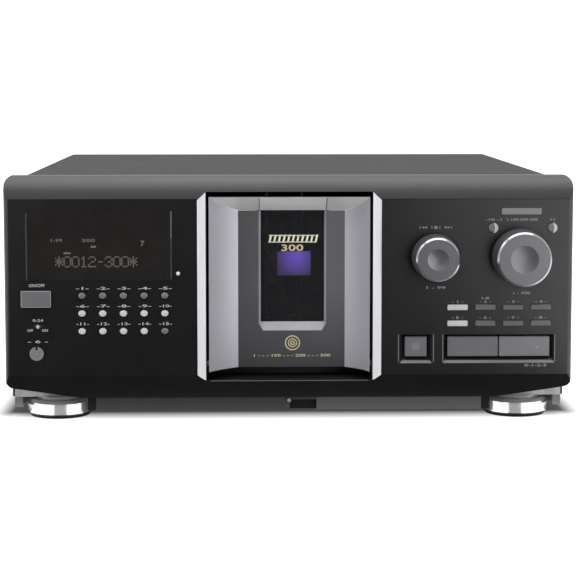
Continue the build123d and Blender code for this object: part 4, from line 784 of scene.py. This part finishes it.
socket_lift, socket_thick = 0.15, 0.3
socket_y = size_of("keyboard_socket")[0].y - socket_lift
notch_half, notch_deep, face_r, rim_steps = 0.75, 2.6, 5.35, 32
rim_start = asin(notch_half / face_r)
rim_points = []
for turn in range(rim_steps + 1):
    angle = rim_start + (tau - 2 * rim_start) * turn / rim_steps
    rim_points.append((face_r * sin(angle), face_r * cos(angle)))
rim_points += [(-notch_half, face_r - notch_deep), (notch_half, face_r - notch_deep)]
socket_face = outline(rim_points[::-1], socket.x, socket_y, socket.z, socket_thick)
socket_grey = moulding("socket_face", paint(109), 0.5, 0.4, 0.01)
piece("socket_face", [socket_face], socket_grey, "cabinet")
pin_ring, pin_r, pin_thick = 2.5, 0.42, 0.1
pins = []
for step in range(1, 6):
    angle = radians(60 * step)
    pin_x, pin_z = socket.x + pin_ring * sin(angle), socket.z + pin_ring * cos(angle)
    pins.append(disc(pin_x, socket_y - ink, pin_z, pin_r, pin_thick, 12))
piece("socket_pins", pins, printing_ink("pin_shade", paint(70)), "cabinet")

strip_y = face_y + 12.0  # the kick strip's face
strip_end_x, strip_end_z, strip_end_size = 150.6, 13.8, (6.6, 11.4)
# painted shade: a dark plate behind the kick strip's notch, where shade falls under the changer
recess_shadow = plate(10.8, strip_y + 4.2, 12.2, 24.0, 8.0, 0.8)
recess_shade_dark = moulding("kick_recess_shade", paint(16), 0.7, 0.4, 0.01, 0.2)
piece("kick_recess_shade", [recess_shadow], recess_shade_dark, "cabinet")
# painted shade: dark plates beside the kick strip's ends, where shade falls between the strip and the feet
strip_end_shades = [plate(side * strip_end_x, strip_y + 0.4, strip_end_z, *strip_end_size, 1.0) for side in (-1, 1)]
end_shade_dark = moulding("strip_end", paint(20), 0.7, 0.4, 0.01, 0.2)
piece("kick_strip_ends", strip_end_shades, end_shade_dark, "cabinet")
screw_face = disc(0, strip_y - 1.5, 15.6, 1.5, 0.2, 20)
piece("strip_screw_face", [screw_face], moulding("screw_face", paint(150), 0.4), "cabinet")
# a painted highlight along the lower edge of the door's opening
lower_edge_highlight = plate(0, face_y + 0.95, 32.5, 120.0, 0.8, 0.3)
piece("opening_edge", [lower_edge_highlight], printing_ink("opening_edge_highlight", paint(74)), "cabinet")

# polished bevels round the knobs' faces
rim_metal = bare_metal("polished_rim", paint(156, 156, 160), 0.2, "y", 0.002, 0.04, 0.9)
for knob in ("track_knob", "disc_knob"):
    low, high = size_of(knob)
    centre, front_r = middle_of(knob), (high.x - low.x) / 2 - knob_taper
    bevel = [(front_r - knob_bevel - 0.05, low.y - 0.06), (front_r + 0.06, low.y + knob_bevel + 0.05),
             (front_r - 0.2, low.y + knob_bevel + 0.2), (front_r - knob_bevel - 0.2, low.y + 0.2)]
    rim = turned(bevel, centre.x, centre.z, 96)
    piece(knob + "_rim", [rim], rim_metal, knob + "_body", True)

# painted highlights: the skip keys are painted light on their right halves, where the light from the right
# falls on their domes
skip_edge, skip_middle = 0.55, 0.35  # the painted highlight's inset, and where its inner line bulges to
for side in ("left", "right"):
    low, high = size_of("skip_key_" + side)
    key = middle_of("skip_key_" + side)
    half_r = (high.x - low.x) / 2 - skip_edge
    arc = [(half_r * sin(radians(turn)), half_r * cos(radians(turn))) for turn in range(0, 181, 12)]
    inner = [(skip_middle * half_r * sin(radians(turn)), half_r * cos(radians(turn)))
             for turn in range(168, 0, -12)]
    highlight_half = outline((arc + inner)[::-1], key.x, low.y - ink, key.z, ink)
    body = "skip_key_%s_body" % side
    piece("skip_key_%s_light" % side, [highlight_half], finishes["cap_light"], body)

# lines round the power key's face, a square on the stop key and a dot on the pause key
low, high = size_of("power_key")
frame_y = low.y - ink
frame_inset, frame_line, frame_lap = 1.4, 0.5, 0.4
frame_width = high.x - low.x - 2 * frame_inset + frame_lap
frame_height = high.z - low.z - 2 * frame_inset
edges = [plate(power.x, frame_y, z, frame_width, frame_line, ink)
         for z in (low.z + frame_inset, high.z - frame_inset)]
edges += [plate(x, frame_y, power.z, frame_line, frame_height, ink)
          for x in (low.x + frame_inset, high.x - frame_inset)]
piece("power_key_edges", edges, printing_ink("key_edge_ink", paint(140)), "power_key_body")
icon_ink = printing_ink("icon_ink", paint(110, 110, 114))
stop, stop_y, stop_side = middle_of("stop_key"), size_of("stop_key")[0].y, 5.6
stop_square = plate(stop.x, stop_y - ink, stop.z, stop_side, stop_side, ink)
piece("stop_mark", [stop_square], icon_ink, "stop_key_body")
pause_y, pause_dot_x, pause_dot_z, pause_dot_r = size_of("pause_key")[0].y, 188.7, 57.2, 1.1
pause_dot = disc(pause_dot_x, pause_y - ink, pause_dot_z, pause_dot_r, ink, 20)
piece("pause_dot", [pause_dot], dim_ink, "pause_key_body")

# ---- the display's figures, on the face of its pane -------------------------------------------
dot_figures = {
    "*": ("..#..", "#.#.#", ".###.", "#####", ".###.", "#.#.#", "..#.."),
    "0": (".###.", "#...#", "#...#", "#...#", "#...#", "#...#", ".###."),
    "1": ("..#..", ".##..", "..#..", "..#..", "..#..", "..#..", ".###."),
    "2": (".###.", "#...#", "....#", "..##.", ".#...", "#....", "#####"),
    "3": (".###.", "#...#", "....#", "..##.", "....#", "#...#", ".###."),
    "-": (".....", ".....", ".....", ".###.", ".....", ".....", "....."),
}
first_dot, dot_row, dot_step, dot_side, figure_step = -175.75, 127.2, 1.21, 0.95, 6.2
dots = []
for place, sign in enumerate("*0012-300*"):
    for down, line in enumerate(dot_figures[sign]):
        for across, dot in enumerate(line):
            if dot == "#":
                x = first_dot + place * figure_step + across * dot_step
                dots.append(plate(x, glass_y, dot_row - down * dot_step, dot_side, dot_side, ink))
piece("display_figures", dots, lit_digits, "cabinet")
display_marks = [
    figures("1-99", -175.1, glass_y + ink, 139.7, 8.4, 2.6),
    figures("300", -151.2, glass_y + ink, 139.7, 9.9, 2.6),
    plate(-147.5, glass_y, 134.9, 4.0, 1.5, ink),
    plate(-167.2, glass_y, 130.1, 5.3, 1.4, ink),
    figures("7", -110.6, glass_y + ink, 137.3, 3.0, 4.2),
]
piece("display_marks", display_marks, lit_digits, "cabinet")

# ---- the door's window and its marks --------------------------------------------------------
pane_low, pane_high = size_of("door_window")
pane_y = pane_low.y
middle_x = (pane_low.x + pane_high.x) / 2

# cover plates over the wide bevel, thin side lines and a bright sill with cut corners
bevel_half, line_half = 30.2, 26.0
cover_low, cover_high, sill_low, sill_high, sill_cut = 66.0, 160.2, 67.6, 74.0, 3.4
cover_thick, sill_thick, sill_lap = 0.2, 0.3, 1.0
covers = []
for side in (-1, 1):
    corners = [(side * bevel_half, cover_high), (side * line_half, cover_high),
               (side * line_half, sill_high - sill_lap), (side * (line_half - sill_cut), sill_low),
               (0, sill_low), (0, cover_low), (side * bevel_half, cover_low)]
    covers.append(outline(corners, middle_x, recess_y - ink, 0, cover_thick))
piece("window_surround", covers, finishes["silver_door"], "door")


def violet_glow():
    """A lit violet panel, brightest at its top and dimmer towards its foot and its sides."""
    material, tree, shader = finish("violet_glow", paint(70, 55, 120), 0.5)
    hot, cool, grainy = (0.78, 0.5, 3.0, 1), (0.24, 0.15, 0.45, 1), (0.1, 0.07, 0.2, 1)
    hot_place, reach_x, reach_z = (6.0, 0, 124.5), 14.0, 15.0
    reach = length_of(tree, coordinates(tree, hot_place, (1 / reach_x, 0, 1 / reach_z)))
    shade = mixed(tree, ranged(tree, reach, 0, 1, 0.05, 1.1), hot, cool)
    grain = noise(tree, coordinates(tree), 1.5, 2.0)
    lit = mixed(tree, ranged(tree, grain, 0, 0.2), shade, grainy)
    tree.links.new(lit, shader.inputs["Emission Color"])
    shader.inputs["Emission Strength"].default_value = 1.3
    material.cycles.emission_sampling = "NONE"
    return material


glow_x, glow_z, glow_size, glow_behind = 4.15, 118.9, (25.7, 18.7), 0.15
glow_panel = plate(glow_x, pane_high.y + glow_behind, glow_z, *glow_size, 0.6, 0.5)
piece("window_glow", [glow_panel], violet_glow(), "door")

disc_first, disc_step, discs_shown, rack_z = -14.6, 3.55, 11, 138.2
slanted_disc = [(-1.0, -3.1), (0.5, -3.1), (2.0, 3.1), (0.5, 3.1)]
rack = []
for number in range(discs_shown):
    rack.append(outline(slanted_disc, disc_first + number * disc_step, pane_y - ink, rack_z))
for z in (135.6, 140.6):
    rack.append(plate(middle_x, pane_y - ink, z, 36.0, 0.7, ink))
piece("window_rack_mark", rack, cream_ink, "door")
window_number = figures("300", 2.9, pane_y, 131.2, 17.0, 5.2)
piece("window_number", [window_number], gold_ink, "door")

sill_half = line_half - 0.1
sill = outline([(-sill_half + sill_cut, sill_low), (sill_half - sill_cut, sill_low),
                (sill_half, sill_low + sill_cut), (sill_half, sill_high), (-sill_half, sill_high),
                (-sill_half, sill_low + sill_cut)], middle_x, recess_y, 0, sill_thick)
sill_run = pane_y - recess_y - 0.5
for corner in sill.verts:
    corner.co.y += sill_run * (corner.co.z - sill_low) / (sill_high - sill_low)
sill_grey = moulding("window_sill", paint(164, 164, 169), 0.42, 0.4, 0.006)
piece("window_sill", [sill], sill_grey, "door")


def disc_mark(x, z, radius):
    """A plain round disc seen from the front, drawn as three rings."""
    return [ring(x, recess_y, z, radius * outer, radius * inner, ink)
            for outer, inner in ((1, 0.86), (0.6, 0.48), (0.3, 0.16))]


gold = disc_mark(2.9, 57.9, 5.8)
gold.append(figures("1 - - - 100 - - - 200 - - - 300", 2.6, recess_y, 48.2, 59.0, 2.2))
piece("door_gold_marks", gold, gold_ink, "door")

# ---- the back: ring inserts, labels and a bare rating plate ----------------------------------


def backwards(shape):
    """A shape made for the front at -x and -y, turned round to face the back at x and y."""
    bmesh.ops.rotate(shape, matrix=Matrix.Rotation(pi, 3, "Z"), verts=shape.verts)
    return shape


def words_behind(words, x, z, width, height):
    """Words or numbers printed on the back panel, centred at x and z."""
    return backwards(figures(words, -x, -back_y, z, width, height))


def plate_behind(x, z, width, height, thick, corner=0.0):
    """A flat plate on the back panel."""
    return backwards(plate(-x, -back_y, z, width, height, thick, corner))


jack_right, jack_left, jack_z, jack_end = -150.0, -132.0, 60.0, size_of("rear_jacks")[1].y
for name, x, colour in (("right", jack_right, paint(150, 34, 30)), ("left", jack_left, paint(206, 206, 202))):
    insert = turned([(2.0, jack_end - 0.4), (3.5, jack_end - 0.4), (3.5, jack_end + 0.1),
                     (2.0, jack_end + 0.1)], x, jack_z)
    collar = turned([(5.6, back_y), (7.2, back_y), (7.2, back_y + 0.5), (5.6, back_y + 0.5)], x, jack_z)
    jack_ring = moulding("%s_jack_ring" % name, colour, 0.45, 0.5, 0.01)
    piece("%s_jack_insert" % name, [insert, collar], jack_ring, "cabinet", True)
# each word with its middle's x and z, its width and its height
back_words = [
    ("R", jack_right, 70.6, 2.4, 3.2),
    ("L", jack_left, 70.6, 2.2, 3.2),
    ("1", -110.0, 68.6, 1.2, 2.8),
    ("2", -95.0, 68.6, 2.0, 2.8),
    ("0-1", -77.0, 70.0, 6.4, 2.8),
    ("1   2   3", -113.0, 77.4, 26.0, 2.8),
]
back_marks = [words_behind(*word) for word in back_words]
group_low, group_high, line_thick = 50.0, 75.0, 0.4
for low_x, high_x in ((-160.0, -122.0), (-117.0, -88.0), (-85.0, -69.0)):
    for z in (group_low, group_high):
        back_marks.append(plate_behind((low_x + high_x) / 2, z, high_x - low_x, line_thick, ink))
    for x in (low_x, high_x):
        back_marks.append(plate_behind(x, (group_low + group_high) / 2, line_thick,
                                       group_high - group_low + line_thick, ink))
piece("back_marks", back_marks, dim_ink, "cabinet")
rating_x, rating_z, rating_size, rating_thick = 84.0, 52.0, (74.0, 34.0), 0.3
rating = plate_behind(rating_x, rating_z, *rating_size, rating_thick, 2.0)
rating_metal = bare_metal("rating_plate", paint(150, 150, 152), 0.4, "x", 0.003, 0.05, 0.6)
piece("rating_plate", [rating], rating_metal, "cabinet")
first_row_z, row_step, longest_row, row_height = 62.5, 5.2, 62.0, 1.0
rows = [backwards(plate(-rating_x, -back_y - rating_thick, first_row_z - row_step * row,
                        longest_row - 7 * (row % 3), row_height, ink)) for row in range(5)]
piece("rating_plate_lines", rows, printing_ink("plate_lines", paint(40)), "cabinet")

# ---- room and camera ------------------------------------------------------------------------
room_light = 0.6  # strength of the room's own light
shadow_glow, far_glow = 0.06, 1.0  # the floor's own white: a painted shadow keeps it low under the changer, and it is full away from it
# painted shadow: the floor's colour is dark under the changer and pale away from it
shadow_paper, far_paper = (0.05, 0.05, 0.05, 1), (0.93, 0.93, 0.93, 1)
side_pull = 34 / 22  # the painted shadow on the floor turns white so much sooner beside the changer than in front of it
footprint_middle, footprint_half = 23.0, (216.0 * side_pull, 193.0, 1.0)
seen_fade, glossy_fade = (0.0, 34.0), (32.0, 54.0)  # how far from the footprint the painted shadow on the floor turns white
flag_sides = (-0.5, 0.25)
flag_near, flag_far, flag_lift, flag_top = -0.225, -1.2, 0.002, 0.34
foot_y, foot_radius, card_ring, card_low, card_high = -0.175, 0.025, 0.045, 0.0006, 0.0085
card_steps, card_inset = 12, 0.6
# a foot's x, and the angles round its plating, in degrees, between which it shows each card
white_spans = ((-0.178, -60, -11.5), (-0.178, 10.5, 39), (0.178, -41, -10), (0.178, 12.5, 64))
grey_spans = ((-0.178, -11.5, 10.5), (0.178, -10, 12.5))
white_card, grey_card, bright_card = (1.4, 1.4, 1.4, 1), paint(166), (2.5, 2.5, 2.5, 1)
flag_grey = paint(48)
side_card_x, side_card_y, side_card_z = 0.9, (-1.0, -0.35), (0.12, 0.8)
floor_reach = 12.0
camera_place, camera_lens, camera_shift = (-31.8, -1528.9, 262.1), 109.27, -0.1
camera_down, camera_turn = 5.016, -1.341  # degrees below level, and degrees of turn about Z
# each lamp's place and the point it is aimed at, in metres, its size in metres and its power in watts
lamps = {
    "overhead": ((0.1, -0.15, 1.8), (0, -0.1, 0.1), 1.8, 31),
    "right_front": ((0.95, -1.6, 0.5), (0.1, -0.2, 0.1), 0.9, 4),
    "left_side": ((-1.2, -0.9, 1.1), (0, -0.2, 0.1), 0.8, 6.2),
}


def looked_at(tree):
    """1 where the camera, a gloss or a glass looks at the surface, and 0 for all other light."""
    rays = tree.nodes.new("ShaderNodeLightPath")
    seen = worked_out(tree, "MAXIMUM", rays.outputs["Is Camera Ray"], rays.outputs["Is Glossy Ray"])
    return worked_out(tree, "MAXIMUM", seen, rays.outputs["Is Transmission Ray"])


def world():
    """A soft room, pale to the eye."""
    room = bpy.data.worlds.new("studio")
    bpy.context.scene.world = room
    room.use_nodes = True
    tree = room.node_tree
    light = tree.nodes["Background"]
    strength = ranged(tree, looked_at(tree), room_light, 1.0, 0.0, 1.0)
    tree.links.new(strength, light.inputs["Strength"])
    light.inputs["Color"].default_value = (1, 1, 1, 1)


def footprint_distance(tree):
    """Distance on the floor from the rectangle under the changer, counted faster beside it than before it."""
    place = coordinates(tree, (0, footprint_middle, 0), (side_pull, 1, 1))
    away = vector_worked_out(tree, "ABSOLUTE", place)
    past = vector_worked_out(tree, "SUBTRACT", away, footprint_half)
    outside = vector_worked_out(tree, "MAXIMUM", past, (0, 0, 0))
    return length_of(tree, outside)


def mixed_value(tree, share, first, second):
    """A value between two others."""
    blend = tree.nodes.new("ShaderNodeMix")
    tree.links.new(share, blend.inputs[0])
    tree.links.new(first, blend.inputs[2])
    tree.links.new(second, blend.inputs[3])
    return blend.outputs[0]


def floor():
    """The pale floor, with a painted shadow: dark under the changer and white a little way in front of it."""
    shape = bmesh.new()
    bmesh.ops.create_grid(shape, x_segments=1, y_segments=1, size=floor_reach)
    material, tree, shader = finish("floor_paper", far_paper, 0.9, 0.0, 0.0)
    shader.inputs["Emission Color"].default_value = (1, 1, 1, 1)
    reach = footprint_distance(tree)
    # painted shadow: the floor's colour and its own white fall away under the changer, further for what
    # glossy surfaces see
    shadowed_paper = mixed(tree, ranged(tree, reach, 0, 1, *seen_fade), shadow_paper, far_paper)
    tree.links.new(shadowed_paper, shader.inputs["Base Color"])
    seen_glow = ranged(tree, reach, shadow_glow, far_glow, *seen_fade)
    glossy_glow = ranged(tree, reach, shadow_glow, far_glow, *glossy_fade)
    rays = tree.nodes.new("ShaderNodeLightPath")
    either_glow = mixed_value(tree, rays.outputs["Is Glossy Ray"], seen_glow, glossy_glow)
    glow = worked_out(tree, "MULTIPLY", looked_at(tree), either_glow)
    tree.links.new(glow, shader.inputs["Emission Strength"])
    ground = placed("floor", shape, material)


def unseen_card(name, shape, colour):
    """A staged card that only glossy surfaces see."""
    material, _, shader = finish(name + "_cloth", (0, 0, 0, 1), 1.0, 0.0, 0.0)
    shader.inputs["Emission Color"].default_value = colour
    shader.inputs["Emission Strength"].default_value = 1.0
    card = placed(name, shape, material)
    card.visible_camera = False
    card.visible_diffuse = False
    card.visible_shadow = False
    card.visible_transmission = False


def dark_flag():
    """A dark card in front of the changer, which lies on the floor and then stands up."""
    shape = bmesh.new()
    near = [shape.verts.new((x, flag_near, flag_lift)) for x in flag_sides]
    edge = shape.edges.new(near)
    for reach in ((0, flag_far - flag_near, 0), (0, 0, flag_top)):
        pulled = bmesh.ops.extrude_edge_only(shape, edges=[edge])
        moved = [part for part in pulled["geom"] if isinstance(part, bmesh.types.BMVert)]
        bmesh.ops.translate(shape, vec=reach, verts=moved)
        edge = shape.edges.get(moved)
    unseen_card("flag", shape, flag_grey)


def seen_from_foot(x, lean):
    """Where the camera's look, thrown back by a foot at this angle, meets a ring of cards round it."""
    view = atan2(camera_place[0] * mm - x, foot_y - camera_place[1] * mm)
    start = foot_radius * Vector((sin(view + lean), -cos(view + lean)))
    way = Vector((sin(view + 2 * lean), -cos(view + 2 * lean)))
    along = start.dot(way)
    return start + way * (-along + (along * along + card_ring ** 2 - foot_radius ** 2) ** 0.5)


def foot_cards():
    """Low curved cards round each foot: white, with a grey one that puts a dull stripe down the plating."""
    for name, colour, spans in (("white", white_card, white_spans), ("grey", grey_card, grey_spans)):
        shape = bmesh.new()
        for x, first, last in spans:
            rows = []
            for step in range(card_steps + 1):
                lean = radians(first + (last - first) * step / card_steps)
                outer = seen_from_foot(x, lean)
                inner = outer * card_inset
                rows.append([shape.verts.new((x + spot.x, foot_y + spot.y, height))
                             for spot, height in ((inner, card_low), (outer, card_low), (outer, card_high))])
            for one, two in zip(rows, rows[1:]):
                shape.faces.new((one[0], two[0], two[1], one[1]))
                shape.faces.new((one[1], two[1], two[2], one[2]))
        unseen_card("foot_cards_" + name, shape, colour)


def side_card():
    """A bright card to the right, which draws a thin line of light along rounded edges that face it."""
    shape = bmesh.new()
    corners = [(side_card_y[0], side_card_z[0]), (side_card_y[1], side_card_z[0]),
               (side_card_y[1], side_card_z[1]), (side_card_y[0], side_card_z[1])]
    shape.faces.new([shape.verts.new((side_card_x, *corner)) for corner in corners])
    unseen_card("side_card", shape, bright_card)


def softbox(name, place, aim, size, power):
    """A square lamp behind diffusing cloth, aimed at a point."""
    lamp = bpy.data.lights.new(name, "AREA")
    lamp.size = size
    lamp.energy = power
    box = linked(name, lamp)
    box.location = place
    box.rotation_euler = (Vector(aim) - Vector(place)).to_track_quat("-Z", "Y").to_euler()


def camera():
    """The photograph's view: low, a little left of the middle, with a slight shift down."""
    lens = bpy.data.cameras.new("camera")
    lens.lens = camera_lens
    lens.shift_y = camera_shift
    eye = linked("camera", lens)
    eye.location = [distance * mm for distance in camera_place]
    eye.rotation_euler = (radians(90 - camera_down), 0, radians(camera_turn))
    bpy.context.scene.camera = eye


world()
floor()
dark_flag()
foot_cards()
side_card()
for name, (place, aim, size, power) in lamps.items():
    softbox(name, place, aim, size, power)
camera()
bpy.context.scene.view_settings.view_transform = "Standard"
